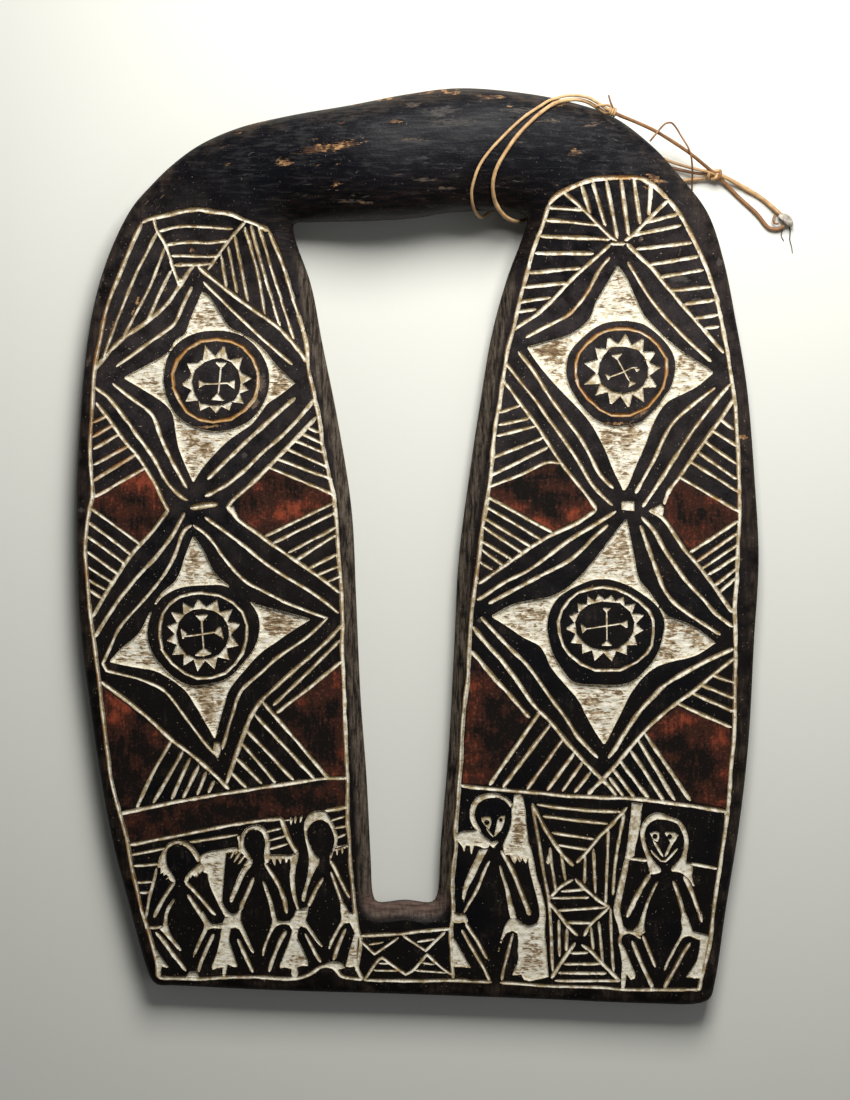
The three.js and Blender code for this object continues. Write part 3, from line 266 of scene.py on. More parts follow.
    (3.16, 0.35, "-90.0,-176.5 -87.3,-183.8 -84.7,-191.0 -81.4,-197.0 -78.8,-200.2"),
    (1.32, 0.10, "-88.6,-178.8 -84.0,-178.5;-94.0,-202.6 -94.0,-208.4;-90.4,-202.9 -90.4,-207.4;-86.9,-202.9 -86.7,-207.0;-53.1,-195.0 -53.1,-201.8;-50.1,-195.6 -49.6,-201.2"),
    (3.16, 0.30, "55.3,-198.6 58.9,-204.9 62.8,-212.1 66.1,-220.0 69.4,-228.6 72.1,-235.8 73.7,-241.1"),
    (1.19, 0.10, "45.4,-183.8 47.7,-187.1 50.3,-189.9"),
    (3.29, 0.20, "153.1,-214.1 149.8,-219.3 146.5,-224.6 143.2,-231.2 140.5,-237.1 137.9,-242.4"),
    (2.24, 0.50, "148.4,-254.9 151.7,-262.8 154.4,-269.4 156.7,-275.3"),
    (1.58, 0.10, "155.4,-192.0 158.0,-196.3 160.3,-200.2 161.8,-202.6;154.0,-198.6 157.0,-202.2 160.3,-205.5 163.3,-205.7 165.9,-203.2 168.5,-200.2 171.2,-197.3;-123.2,-203.7 -120.7,-198.7;-120.9,-206.2 -117.0,-199.9;-118.2,-207.7 -113.7,-201.4"),
    (1.98, 0.10, "170.5,-189.4 167.5,-193.7 165.2,-198.3 162.9,-202.6;61.2,-200.2 64.3,-206.8;65.2,-200.2 67.8,-206.2;68.5,-200.2 71.5,-206.8"),
    (1.25, 0.10, "-169.4,-213.7 -166.0,-211.6;-167.3,-215.1 -163.6,-212.7;-165.7,-217.5 -162.5,-215.2;-149.7,-216.7 -147.9,-212.1;-145.7,-216.1 -146.7,-211.4"),
    (1.71, 0.10, "-83.6,-176.9 -83.4,-181.7;-80.3,-176.0 -80.8,-180.6;-76.3,-175.6 -77.4,-180.2;30.4,-194.0 30.7,-199.2;35.1,-194.6 35.4,-201.0"),
    (1.91, 0.15, "-54.1,-196.6 -46.0,-194.8"),
]
RINGS = [
    (2.90, 1.0, "-132.1,138.3 -122.9,137.0 -115.0,133.0 -108.4,125.8 -105.1,116.5 -105.1,107.3 -107.1,99.4 -113.7,91.5 -122.9,85.6 -134.7,83.9 -144.0,85.6 -151.9,90.2 -157.1,98.1 -160.4,106.0 -161.4,115.2 -158.5,124.4 -151.9,131.7 -142.7,137.0"),
    (2.50, 0.1, "-142.2,-28.7 -130.7,-30.5 -121.4,-35.3 -115.3,-41.3 -112.4,-50.1 -112.8,-60.0 -115.3,-68.7 -120.3,-75.9 -126.8,-81.9 -135.6,-84.7 -145.0,-85.0 -153.2,-81.9 -161.9,-75.3 -168.0,-66.6 -169.7,-57.8 -169.7,-50.1 -168.0,-42.4 -163.6,-36.4 -156.5,-31.4 -149.9,-29.5"),
    (2.63, 1.0, "131.1,145.1 138.8,145.3 146.5,143.1 153.1,139.3 158.5,134.3 164.1,125.6 164.1,116.7 161.8,106.9 159.0,102.1 151.9,93.7 139.9,88.2 127.8,88.2 120.1,92.0 111.9,99.2 106.4,106.9 104.2,114.6 104.2,122.3 106.4,128.9 111.4,135.4 119.0,141.4 125.6,144.2"),
    (2.50, 0.1, "114.7,-25.9 122.3,-25.1 131.1,-26.5 138.8,-29.8 146.5,-34.7 152.5,-40.7 155.2,-46.8 155.2,-55.6 154.2,-63.3 150.9,-68.7 144.3,-74.3 133.3,-79.7 116.8,-79.7 108.1,-75.9 100.4,-69.8 96.0,-63.3 93.3,-55.6 92.7,-47.9 94.9,-40.2 99.8,-33.6 105.8,-28.7"),
]
TOOTHED = [
    (-132.6, 110.3, 17.8, 17.1, 4.2, "-140.0,134.7 -127.2,135.2 -115.0,126.8 -108.4,112.6 -111.0,104.7 -114.3,95.7 -123.9,91.1 -132.8,89.3 -143.3,90.9 -153.2,97.0 -156.1,108.4 -152.1,122.5", "-129.5,125.8 -122.9,123.1 -118.3,117.9 -116.6,110.0 -117.6,103.4 -120.9,98.1 -128.2,95.2 -136.1,94.8 -142.7,96.1 -146.6,102.1 -148.6,110.0 -146.6,117.9 -140.0,123.1 -134.7,125.1"),
    (-141.5, -55.8, 19.1, 18.2, 5.3, "-154.8,-34.7 -144.4,-32.8 -131.8,-33.1 -121.6,-39.4 -115.8,-49.0 -117.4,-63.8 -123.8,-73.1 -133.6,-79.5 -145.0,-81.0 -154.3,-77.3 -161.8,-70.0 -165.2,-60.5 -165.5,-50.6 -162.9,-41.1", "-142.0,-39.5 -134.1,-40.9 -128.2,-44.8 -124.9,-50.7 -124.2,-57.3 -126.2,-63.9 -130.8,-69.2 -137.4,-72.1 -145.3,-72.1 -151.9,-69.2 -156.8,-63.6 -158.8,-56.0 -157.1,-48.4 -153.2,-43.2 -147.9,-40.2"),
    (135.3, 118.1, 18.4, 17.8, 5.3, "125.1,140.4 137.1,142.4 149.4,139.6 157.5,130.2 160.2,119.5 158.5,106.3 149.4,96.5 139.4,92.0 126.7,94.3 116.8,100.9 109.5,108.2 109.5,122.3 116.8,132.7", "127.8,132.9 136.6,133.2 145.4,131.0 149.2,126.6 151.9,120.0 151.4,113.4 148.6,108.0 144.3,104.7 135.5,102.5 127.8,104.2 121.2,109.1 119.0,115.7 120.1,122.3 122.9,127.7"),
    (123.6, -50.7, 20.8, 17.9, 4.6, "112.2,-30.9 119.0,-29.5 127.8,-30.0 135.8,-30.9 143.7,-35.8 149.8,-43.3 149.0,-53.6 144.8,-63.3 137.9,-69.8 128.0,-74.3 116.6,-73.9 108.3,-69.0 100.7,-61.9 96.7,-52.3 99.5,-43.7 105.3,-35.6", "121.2,-34.7 133.3,-35.8 139.9,-41.3 142.7,-47.9 142.1,-54.5 138.8,-60.0 132.2,-65.2 124.5,-66.6 115.7,-65.4 109.1,-61.1 104.8,-55.6 103.9,-47.9 107.0,-41.3 112.4,-36.9"),
]
CROSSES = [
    (1.45, "-129.5,120.5 -131.5,101.4;-141.3,108.6 -122.9,109.6", "-134.1,123.5 -125.3,123.0 -129.2,118.5;-136.3,98.1 -126.8,97.4 -131.9,103.0;-144.4,112.2 -144.0,105.7 -139.0,108.9;-120.1,111.8 -120.4,104.9 -126.2,109.3"),
    (1.71, "-142.2,-46.1 -140.9,-66.6;-153.8,-57.7 -132.1,-54.4", "-147.1,-43.2 -136.9,-42.8 -142.0,-48.6;-147.7,-70.5 -140.7,-70.8 -134.6,-68.7 -140.9,-64.6;-156.5,-51.4 -154.8,-60.6 -151.3,-55.6;-129.6,-49.8 -127.4,-59.4 -134.7,-55.0"),
    (1.32, "131.5,125.6 139.9,110.2;125.6,112.9 135.5,116.7 141.0,119.2 145.4,119.7", "126.6,127.9 135.8,129.5 131.5,124.4;145.0,109.6 138.8,106.3 139.6,111.1;122.8,116.5 125.6,111.0 127.9,113.5;141.9,120.1 147.7,118.6 144.3,116.5"),
    (1.32, "124.5,-41.3 124.6,-61.1;110.8,-52.5 135.5,-48.8", "121.1,-38.4 127.6,-38.7 124.5,-42.3;120.0,-63.9 129.3,-63.9 124.7,-60.1;107.2,-48.6 108.5,-56.0 112.2,-52.3;138.4,-46.5 138.6,-53.0 133.0,-49.2"),
]
STARS = [
    ("-142.0,169.9 -149.5,152.8 -153.8,141.6 -159.1,138.3 -165.0,129.7 -179.5,121.1 -194.7,112.9 -180.9,104.7 -167.7,96.1 -162.4,90.2 -157.8,67.1 -147.9,42.8 -141.3,53.3 -130.8,65.2 -124.2,71.4 -115.7,77.4 -109.1,82.0 -103.8,88.5 -98.5,95.5 -90.0,101.4 -80.1,109.3 -87.0,115.9 -93.3,122.1 -99.2,129.7 -106.4,136.6 -114.3,141.6 -123.9,146.8 -130.8,157.4 -138.0,167.9", "-167.2,111.3 -166.4,119.2 -164.1,127.1 -159.4,134.0 -152.5,139.3 -143.3,142.7 -133.4,143.7 -123.6,142.9 -115.0,139.9 -108.1,134.7 -102.5,127.4 -98.9,119.2 -97.9,111.3 -98.9,103.0 -102.5,94.8 -108.4,86.9 -116.3,81.6 -124.9,78.7 -134.7,77.9 -144.6,80.0 -153.5,84.3 -160.4,90.9 -165.0,100.1"),
    ("-147.6,9.8 -152.5,-2.0 -159.1,-19.8 -169.0,-29.0 -176.9,-42.2 -184.1,-55.4 -196.0,-65.9 -203.9,-74.5 -189.4,-77.7 -173.6,-80.4 -169.0,-82.4 -153.8,-92.9 -146.6,-103.4 -140.0,-114.6 -133.4,-126.2 -129.2,-110.0 -126.8,-102.1 -124.3,-94.0 -119.9,-87.4 -113.3,-79.6 -106.8,-72.3 -100.5,-66.6 -92.6,-61.3 -84.0,-55.1 -69.5,-46.1 -82.1,-42.4 -93.9,-39.4 -101.6,-37.4 -107.7,-35.6 -111.5,-32.7 -118.1,-27.7 -124.7,-23.1 -130.1,-19.0 -134.6,-13.5 -140.7,-0.7", "-177.9,-55.6 -176.8,-47.9 -174.1,-40.2 -169.1,-33.1 -163.1,-28.7 -156.5,-25.9 -149.9,-24.6 -140.0,-24.1 -129.0,-24.1 -121.4,-27.0 -114.8,-31.4 -109.3,-36.9 -105.4,-43.5 -104.3,-51.2 -105.4,-58.8 -108.7,-66.6 -114.8,-74.3 -121.4,-81.9 -128.0,-86.3 -134.6,-88.0 -142.2,-89.4 -148.8,-89.8 -154.3,-88.0 -161.9,-83.0 -168.5,-76.4 -173.5,-69.8 -176.8,-62.1"),
    ("131.6,187.5 124.1,174.4 117.4,163.0 112.8,151.6 101.4,142.4 90.0,138.5 71.3,133.5 76.6,125.3 84.8,114.6 95.5,102.8 102.5,95.7 112.0,85.1 118.0,75.6 123.9,63.9 128.6,52.0 133.3,42.5 135.7,37.2 139.2,42.5 144.0,54.4 149.8,67.3 154.6,80.3 159.3,89.8 165.2,96.9 177.0,102.8 185.3,107.6 195.9,116.4 186.5,122.9 177.0,128.9 166.4,137.1 158.3,144.7 149.2,155.0 143.6,166.4 137.9,178.9", "98.2,120.0 99.3,126.6 103.7,133.8 109.1,139.3 115.7,144.7 123.4,148.6 131.1,149.9 139.9,149.9 148.6,148.0 155.2,143.7 161.8,137.6 166.8,131.0 169.5,123.3 169.0,114.6 166.2,105.8 162.9,101.4 157.5,93.7 151.9,88.2 146.5,83.8 138.8,82.2 131.1,81.1 123.4,82.8 115.7,87.1 109.1,93.7 103.7,101.4 99.8,109.1 98.2,115.7"),
    ("136.9,19.9 129.2,10.3 121.6,0.2 115.3,-8.1 106.4,-18.1 97.6,-25.7 87.5,-30.9 74.8,-33.4 63.4,-35.9 47.6,-44.2 59.5,-51.7 71.0,-59.3 79.8,-63.8 83.6,-68.9 86.8,-76.4 91.3,-82.8 98.9,-91.6 105.8,-99.9 111.2,-110.5 116.4,-119.8 123.1,-130.0 128.4,-119.8 133.8,-109.2 140.4,-95.9 148.4,-85.3 156.4,-78.6 167.0,-74.6 183.0,-70.6 197.0,-61.9 185.0,-52.4 174.8,-47.3 164.7,-43.5 159.6,-37.2 153.3,-28.3 146.3,-19.5 143.2,-5.5 140.7,7.2 138.1,19.9", "86.1,-45.7 88.3,-39.1 92.7,-32.5 99.3,-27.6 107.0,-23.7 115.7,-20.6 124.5,-20.1 133.3,-22.1 141.0,-25.4 148.6,-30.3 155.2,-35.3 159.6,-40.2 162.4,-47.9 161.8,-55.6 159.1,-65.4 155.2,-73.1 149.8,-79.7 142.5,-86.3 133.3,-89.1 120.1,-89.1 107.0,-88.5 101.4,-86.3 97.7,-82.0 93.8,-76.4 89.4,-68.7 86.7,-58.8 85.6,-52.3"),
]
PATCHES = [
    ("h", "-63.6,-274.7 -57.7,-271.7 -50.4,-272.4 -46.5,-275.7 -52.4,-277.3 -57.7,-276.3"),
    ("h", "-153.8,-282.6 -149.9,-278.0 -145.3,-278.0 -142.7,-282.6"),
    ("p", "-159.1,175.8 -155.8,179.4 -152.2,175.2"),
    ("p", "-134.1,-127.1 -130.8,-126.5 -129.2,-131.1 -131.5,-139.0 -134.7,-133.7"),
    ("p", "152.2,26.0 160.5,30.1 162.6,27.0 161.7,21.7"),
    ("p", "-124.9,28.9 -120.9,28.3 -117.6,19.7 -122.6,23.7"),
    ("p", "133.9,31.9 142.7,31.6 143.0,24.8 134.3,25.7"),
    ("p", "86.8,-197.0 87.7,-207.8 84.2,-207.5"),
    ("h", "-176.2,-256.2 -173.6,-260.8 -170.3,-266.1 -167.0,-270.7 -163.7,-275.3 -165.0,-276.0 -168.3,-275.3 -169.0,-278.6 -168.3,-282.6 -171.0,-282.6 -171.6,-277.3 -172.9,-270.7 -174.9,-264.1"),
    ("r", "-171.6,-208.2 -170.0,-202.9 -167.7,-198.3 -165.4,-195.0 -162.4,-192.5 -157.8,-191.2 -153.5,-191.7 -149.6,-194.0 -145.9,-197.9 -143.0,-202.6 -143.3,-205.8 -145.0,-206.5 -147.3,-202.6 -150.2,-198.6 -153.5,-196.0 -157.5,-194.6 -161.4,-195.3 -164.4,-197.9 -165.5,-202.2 -165.2,-206.2 -164.1,-209.8 -161.8,-213.4 -159.4,-217.7 -159.8,-220.7 -162.7,-218.7 -164.1,-217.2 -165.4,-218.0 -164.4,-216.1 -166.0,-213.9 -168.0,-215.4 -167.4,-213.1 -169.3,-214.1 -169.5,-210.1 -171.3,-210.5"),
    ("r", "-153.8,-219.0 -152.9,-215.7 -150.2,-212.4 -147.3,-209.8 -144.6,-207.5 -143.3,-205.8 -140.0,-208.8 -140.7,-211.4 -142.7,-213.4 -141.7,-214.7 -144.3,-213.7 -143.8,-217.0 -146.3,-214.4 -146.3,-217.4 -148.3,-215.1 -149.6,-216.1 -151.5,-219.7 -152.5,-221.0"),
    ("r", "-170.3,-250.0 -168.0,-247.7 -167.0,-242.4 -165.4,-236.5 -161.1,-230.5 -158.8,-227.9 -158.5,-229.9 -161.8,-235.2 -164.4,-241.7 -164.1,-247.7 -162.7,-252.9 -159.8,-257.5 -155.8,-262.8 -155.2,-264.8 -156.8,-265.1 -160.4,-261.2 -164.7,-256.2 -168.0,-252.6"),
    ("r", "-144.0,-238.8 -141.3,-238.1 -138.7,-242.4 -136.1,-246.0 -132.8,-247.0 -128.8,-246.0 -126.2,-247.7 -126.2,-250.3 -130.1,-250.3 -134.7,-250.0 -138.0,-251.0 -140.7,-256.2 -143.3,-261.5 -145.6,-266.1 -147.3,-269.4 -148.3,-269.1 -147.3,-264.8 -144.6,-258.2 -141.7,-251.6 -140.7,-247.7 -142.0,-243.1"),
    ("h", "-143.3,-202.2 -140.0,-199.9 -135.4,-198.6 -128.8,-197.6 -123.6,-196.6 -118.9,-196.3 -117.6,-198.3 -119.6,-199.6 -123.6,-199.9 -125.9,-200.6 -126.5,-206.2 -127.2,-212.8 -127.6,-219.3 -128.2,-225.9 -128.5,-231.2 -127.5,-234.5 -124.9,-238.4 -122.2,-240.1 -118.9,-239.8 -117.3,-237.1 -115.0,-234.5 -116.0,-239.1 -116.3,-243.7 -114.7,-248.3 -113.0,-252.3 -110.4,-258.2 -107.4,-265.4 -108.4,-266.8 -110.4,-264.1 -113.0,-259.5 -115.7,-254.3 -117.6,-250.6 -120.3,-249.6 -122.9,-250.3 -123.9,-257.5 -122.9,-260.8 -120.9,-266.8 -118.9,-272.7 -118.0,-275.7 -121.6,-275.3 -124.9,-274.0 -125.9,-278.6 -126.2,-282.6 -128.8,-282.6 -128.5,-276.0 -132.1,-276.3 -135.1,-277.6 -135.7,-275.3 -134.1,-270.7 -131.8,-264.1 -130.5,-257.5 -129.2,-250.3 -128.2,-245.7 -126.8,-242.4 -129.5,-237.8 -131.8,-233.2 -133.8,-228.6 -136.1,-224.0 -137.7,-218.7 -138.4,-214.1 -141.3,-212.8 -140.7,-209.5 -143.3,-206.2"),
    ("r", "-119.6,-188.7 -117.0,-187.7 -116.6,-193.7 -115.0,-197.9 -112.4,-201.9 -109.7,-204.5 -107.7,-206.8 -111.7,-209.5 -114.7,-208.5 -112.0,-204.5 -113.7,-203.2 -117.3,-208.2 -114.3,-202.2 -115.7,-200.6 -120.4,-207.2 -116.6,-200.2 -118.0,-199.5 -123.2,-205.8 -120.3,-199.9 -124.2,-200.1 -122.2,-197.3 -118.0,-197.0 -118.3,-193.0"),
    ("r", "-114.7,-208.8 -110.4,-207.2 -108.1,-207.8 -111.0,-210.8 -114.0,-215.4 -117.0,-222.0 -119.6,-227.9 -122.2,-233.5 -123.9,-232.5 -123.6,-229.2 -120.9,-222.0 -118.0,-214.7"),
    ("r", "-116.3,-197.9 -117.4,-192.3 -115.3,-186.4 -111.4,-182.7 -105.8,-181.3 -101.5,-182.8 -98.5,-186.7 -97.0,-192.3 -97.2,-197.6 -96.6,-202.2 -97.5,-205.5 -99.2,-208.2 -100.8,-206.5 -101.2,-201.6 -100.6,-196.3 -100.8,-191.4 -102.6,-187.3 -106.1,-185.1 -110.4,-185.4 -113.1,-188.1 -114.2,-192.7 -113.3,-197.3 -111.0,-200.9 -108.1,-205.2 -109.7,-206.2 -113.0,-202.6"),
    ("r", "-98.5,-201.2 -90.6,-200.9 -83.4,-201.2 -79.4,-198.9 -77.8,-198.9 -78.8,-204.9 -80.1,-210.8 -80.7,-216.7 -80.4,-223.3 -79.4,-229.9 -77.8,-236.5 -76.8,-238.4 -78.8,-240.4 -80.1,-236.5 -82.1,-230.5 -83.7,-223.3 -84.4,-216.1 -83.7,-208.8 -84.0,-204.5 -85.0,-204.5 -86.0,-207.5 -87.7,-204.5 -89.0,-204.5 -90.3,-207.5 -91.9,-204.5 -93.3,-204.5 -94.6,-208.5 -96.2,-204.5 -98.5,-204.2"),
    ("h", "-80.1,-237.8 -75.5,-236.5 -71.5,-234.5 -72.2,-239.8 -73.5,-244.4 -71.5,-247.7 -68.9,-251.6 -65.6,-256.9 -62.0,-261.5 -63.3,-262.5 -66.3,-259.5 -70.2,-254.3 -73.5,-250.0 -76.8,-248.7 -78.4,-250.3 -78.8,-256.2 -76.8,-260.2 -74.2,-266.1 -71.9,-272.0 -72.2,-274.7 -77.5,-275.0 -79.1,-275.7 -78.4,-278.6 -78.8,-282.6 -83.4,-282.6 -83.0,-277.0 -87.3,-276.0 -90.6,-276.3 -91.0,-274.7 -89.0,-269.4 -86.7,-263.5 -84.4,-257.5 -82.7,-251.0 -84.7,-248.0 -88.0,-247.3 -92.6,-248.3 -95.2,-251.6 -97.9,-257.5 -99.8,-262.8 -101.2,-268.4 -102.5,-267.8 -102.1,-262.8 -99.8,-256.9 -97.2,-250.3 -95.9,-245.7 -96.6,-241.1 -97.9,-234.5 -99.8,-227.9 -101.8,-221.3 -102.8,-217.4 -100.8,-218.7 -98.5,-224.0 -95.9,-230.5 -94.2,-237.1 -92.9,-242.4 -91.9,-244.7 -88.6,-245.0 -84.0,-244.7 -81.7,-241.7"),
    ("r", "-81.4,-175.9 -78.8,-175.9 -79.9,-180.0 -80.7,-179.2"),
    ("r", "-77.5,-175.5 -74.8,-174.9 -76.5,-179.8 -77.3,-178.8"),
    ("r", "-84.7,-177.9 -81.7,-177.2 -82.7,-180.8 -83.5,-181.1"),
    ("r", "-74.2,-191.0 -75.1,-183.8 -73.8,-177.9 -70.9,-173.9 -65.6,-172.1 -60.3,-172.6 -58.0,-176.2 -55.4,-180.5 -53.4,-185.1 -52.4,-190.4 -53.4,-195.6 -55.4,-199.6 -56.7,-204.2 -58.0,-205.2 -58.0,-201.6 -55.7,-196.6 -54.9,-191.0 -56.4,-185.8 -59.3,-180.8 -63.6,-178.7 -67.9,-179.5 -71.0,-182.5 -72.6,-186.4 -71.9,-191.7 -69.5,-197.6 -66.9,-201.6 -64.3,-203.9 -64.9,-207.5 -67.6,-212.1 -70.2,-218.0 -72.5,-224.6 -74.2,-231.9 -75.8,-233.2 -76.5,-229.9 -74.8,-223.3 -72.8,-216.1 -71.9,-208.8 -71.9,-202.2 -73.2,-195.6"),
    ("r", "-55.1,-197.0 -51.1,-196.3 -46.2,-194.0 -45.5,-196.3 -48.5,-197.9 -49.1,-201.9 -50.4,-198.3 -51.8,-198.6 -52.8,-201.9 -54.1,-198.9 -55.7,-200.2"),
    ("h", "-51.8,-230.5 -49.1,-231.5 -47.2,-234.5 -44.9,-239.1 -41.2,-239.8 -39.3,-243.7 -38.6,-249.0 -37.9,-252.9 -38.9,-256.9 -39.3,-262.8 -39.6,-268.7 -38.6,-274.7 -36.0,-281.9 -37.9,-282.6 -39.9,-277.3 -41.9,-275.3 -45.2,-275.7 -47.8,-275.0 -46.5,-270.7 -44.9,-264.1 -42.9,-257.5 -41.6,-252.9 -43.2,-249.3 -44.9,-246.3 -47.8,-246.7 -50.4,-249.6 -53.1,-254.3 -55.7,-259.5 -57.7,-263.8 -59.0,-263.1 -57.7,-258.2 -54.7,-252.3 -51.8,-247.3 -50.4,-243.7 -50.8,-239.1 -51.1,-234.5"),
    ("h", "25.3,-187.7 29.9,-185.8 35.2,-185.4 39.8,-184.8 42.4,-187.1 45.7,-190.4 49.0,-192.7 52.3,-192.0 54.3,-192.3 52.3,-194.6 50.0,-197.3 47.7,-195.3 46.4,-197.0 43.7,-197.3 40.4,-196.0 37.5,-195.6 35.5,-200.9 34.2,-196.0 32.2,-195.3 30.6,-199.6 28.9,-195.6 26.6,-193.0 25.2,-191.7"),
    ("r", "43.4,-187.1 40.1,-186.1 37.1,-183.5 34.8,-179.5 34.2,-173.9 35.5,-168.0 38.5,-163.7 43.1,-161.4 48.3,-160.4 53.6,-161.1 58.2,-163.0 61.5,-165.7 63.2,-168.0 61.5,-171.3 59.5,-168.3 56.9,-165.9 53.0,-164.2 47.7,-164.2 42.7,-165.8 39.6,-168.8 37.9,-173.2 38.3,-177.9 39.9,-181.5"),
    ("b", "63.5,-162.0 65.5,-161.1 68.1,-161.1 69.7,-164.0 71.1,-170.6 71.7,-178.5 72.7,-186.4 73.7,-193.7 75.3,-198.3 76.7,-204.9 78.6,-214.7 81.3,-223.3 83.2,-231.2 84.6,-239.1 84.2,-247.7 84.2,-254.3 85.2,-264.1 85.9,-274.0 86.5,-281.9 82.6,-283.2 78.0,-283.9 74.0,-284.9 70.1,-283.9 68.1,-280.6 61.5,-281.3 64.1,-276.0 66.1,-270.7 65.8,-264.1 66.1,-258.2 65.8,-253.6 62.8,-251.9 59.5,-252.9 56.9,-255.9 55.3,-260.2 53.9,-265.4 53.0,-270.4 52.2,-269.4 53.0,-263.5 54.6,-257.5 56.2,-251.6 57.6,-247.7 59.5,-244.7 61.5,-243.1 64.8,-242.7 67.4,-245.0 71.4,-247.3 75.3,-247.7 78.6,-246.0 80.0,-241.7 79.6,-235.2 78.0,-227.9 75.3,-218.0 73.4,-210.1 72.7,-204.2 71.7,-207.5 69.7,-202.9 68.4,-206.2 66.5,-202.2 64.8,-206.8 62.5,-203.2 60.2,-201.9 57.9,-201.6 56.6,-198.9 56.2,-195.0 57.9,-190.4 60.2,-185.1 61.8,-178.5 61.8,-171.9 62.8,-167.3"),
    ("r", "43.7,-197.0 47.0,-197.0 42.4,-205.5 37.5,-216.1 33.2,-224.0 30.9,-231.9 29.2,-231.9 29.6,-224.6 32.5,-215.4 37.1,-205.5 40.4,-198.3"),
    ("p", "23.5,-238.4 27.3,-240.4 29.9,-239.4 31.9,-241.1 33.5,-244.4 32.9,-247.0 29.9,-246.0 27.3,-246.7 23.5,-246.3"),
    ("h", "22.7,-253.6 27.3,-261.5 30.6,-267.4 33.9,-273.0 36.2,-276.3 30.6,-275.7 23.3,-275.3"),
    ("r", "53.3,-207.2 55.1,-208.5 57.2,-215.4 60.2,-223.3 62.2,-231.2 64.1,-237.8 65.5,-243.1 61.2,-244.4 60.4,-241.1 59.2,-234.5 57.9,-226.6 56.2,-219.3 54.3,-213.4"),
    ("v", "140.9,-166.7 148.4,-167.3 147.5,-173.9 146.8,-181.8 145.2,-190.4 143.5,-197.0 143.0,-202.2 139.9,-204.9 138.6,-211.4 136.6,-221.3 134.6,-231.2 133.6,-237.8 134.6,-243.1 135.9,-248.3 138.6,-251.0 141.9,-251.3 145.2,-247.3 147.1,-242.4 149.4,-235.8 152.4,-228.6 155.7,-221.7 158.0,-218.0 159.5,-218.0 157.0,-223.3 153.7,-230.5 151.4,-237.1 150.1,-243.1 149.4,-248.3 150.1,-252.3 147.1,-254.9 142.5,-253.6 136.6,-253.6 133.3,-256.2 132.0,-249.0 130.0,-243.1 129.0,-237.8 130.0,-231.2 131.3,-224.6 133.3,-216.1 135.9,-206.2 137.9,-196.3 139.2,-185.1 140.2,-175.2"),
    ("h", "131.7,-259.5 134.0,-258.5 136.6,-262.8 139.2,-268.7 141.5,-274.7 143.7,-280.6 142.9,-283.2 140.5,-283.9 137.9,-280.6 137.3,-284.5 136.6,-289.5 134.0,-289.5 134.0,-280.6 134.6,-274.0 133.3,-264.8"),
    ("h", "173.8,-239.1 176.4,-238.4 178.4,-243.1 180.1,-247.7 181.4,-251.3 184.7,-252.3 189.3,-253.6 192.2,-254.3 191.6,-258.2 190.6,-262.8 189.6,-268.7 188.3,-275.3 187.6,-279.9 186.6,-282.9 182.0,-282.9 178.1,-282.2 175.8,-282.6 178.1,-279.6 180.7,-276.0 183.4,-271.4 185.0,-266.1 185.7,-261.5 185.9,-257.9 182.7,-256.6 178.7,-255.2 175.1,-256.2 172.5,-259.9 168.9,-266.8 165.6,-272.7 163.3,-278.3 162.1,-279.3 162.4,-275.3 165.6,-268.1 169.5,-260.8 172.8,-254.9 174.1,-250.3 173.5,-245.0"),
    ("r", "153.1,-214.4 151.7,-208.8 150.4,-202.9 148.1,-196.3 146.7,-189.7 147.0,-183.1 149.8,-177.9 153.1,-174.9 157.7,-173.2 162.9,-174.4 168.2,-176.7 173.1,-178.8 176.4,-183.5 178.4,-189.7 178.4,-196.3 177.4,-202.2 177.1,-206.2 181.0,-206.8 181.5,-210.8 181.0,-215.4 182.7,-222.0 181.7,-223.6 179.4,-218.7 176.8,-215.7 172.8,-213.4 168.9,-212.8 166.6,-212.8 166.9,-210.5 170.8,-206.2 173.7,-201.9 175.3,-196.3 175.3,-190.4 173.5,-185.4 170.8,-181.1 166.9,-179.5 162.3,-178.5 157.0,-178.5 153.4,-180.5 150.6,-184.1 149.8,-189.1 151.1,-195.6 153.4,-201.2 157.0,-206.5 160.6,-210.5 160.6,-212.8 157.0,-214.4"),
]
EYES = [
    ("41.8,-176.9 44.4,-176.1 48.2,-176.4 48.7,-180.5 47.2,-184.8 44.7,-182.5 42.4,-179.5", 45.7, -180.1, 1.58),
    ("52.0,-181.1 53.0,-177.5 54.9,-175.9 57.8,-175.2 57.3,-179.8 55.6,-184.4 52.3,-188.1 50.3,-190.0 51.2,-185.1", 54.9, -178.3, 1.12),
    ("152.9,-187.1 156.4,-186.0 159.2,-186.6 159.2,-190.4 158.2,-193.0 155.4,-191.7", 156.4, -189.2, 1.58),
    ("162.3,-186.4 165.6,-186.3 169.5,-186.4 172.2,-188.4 169.2,-192.0 166.9,-194.3 164.6,-190.4", 166.1, -189.4, 1.51),
]
REDS = [
    "-213.1,34.2 -179.5,53.3 -172.9,43.4 -163.7,25.0 -182.8,3.3 -215.8,27.6",
    "-97.9,54.0 -55.1,36.2 -54.4,29.6 -100.5,8.5 -118.9,21.0 -121.6,32.2",
    "-210.5,-87.0 -162.4,-126.2 -185.1,-170.6 -197.3,-169.3 -203.9,-131.1",
    "-49.8,-73.8 -92.6,-108.0 -101.8,-100.8 -59.0,-150.9 -47.2,-150.9",
    "-196.9,-173.9 -127.5,-161.1 -47.2,-150.9 -46.5,-170.0 -89.3,-177.5 -149.9,-187.1 -191.1,-195.0",
    "47.7,41.5 85.9,57.3 94.4,56.6 118.2,25.7 88.5,10.5 45.7,34.9",
    "172.8,46.1 212.0,24.7 212.0,18.4 180.1,-1.4 161.6,22.4 165.2,37.8",
    "34.5,-67.9 74.0,-111.3 47.0,-155.5 28.6,-155.5",
    "170.8,-102.8 207.1,-118.6 205.1,-171.9 179.4,-165.3 149.8,-120.6",
]
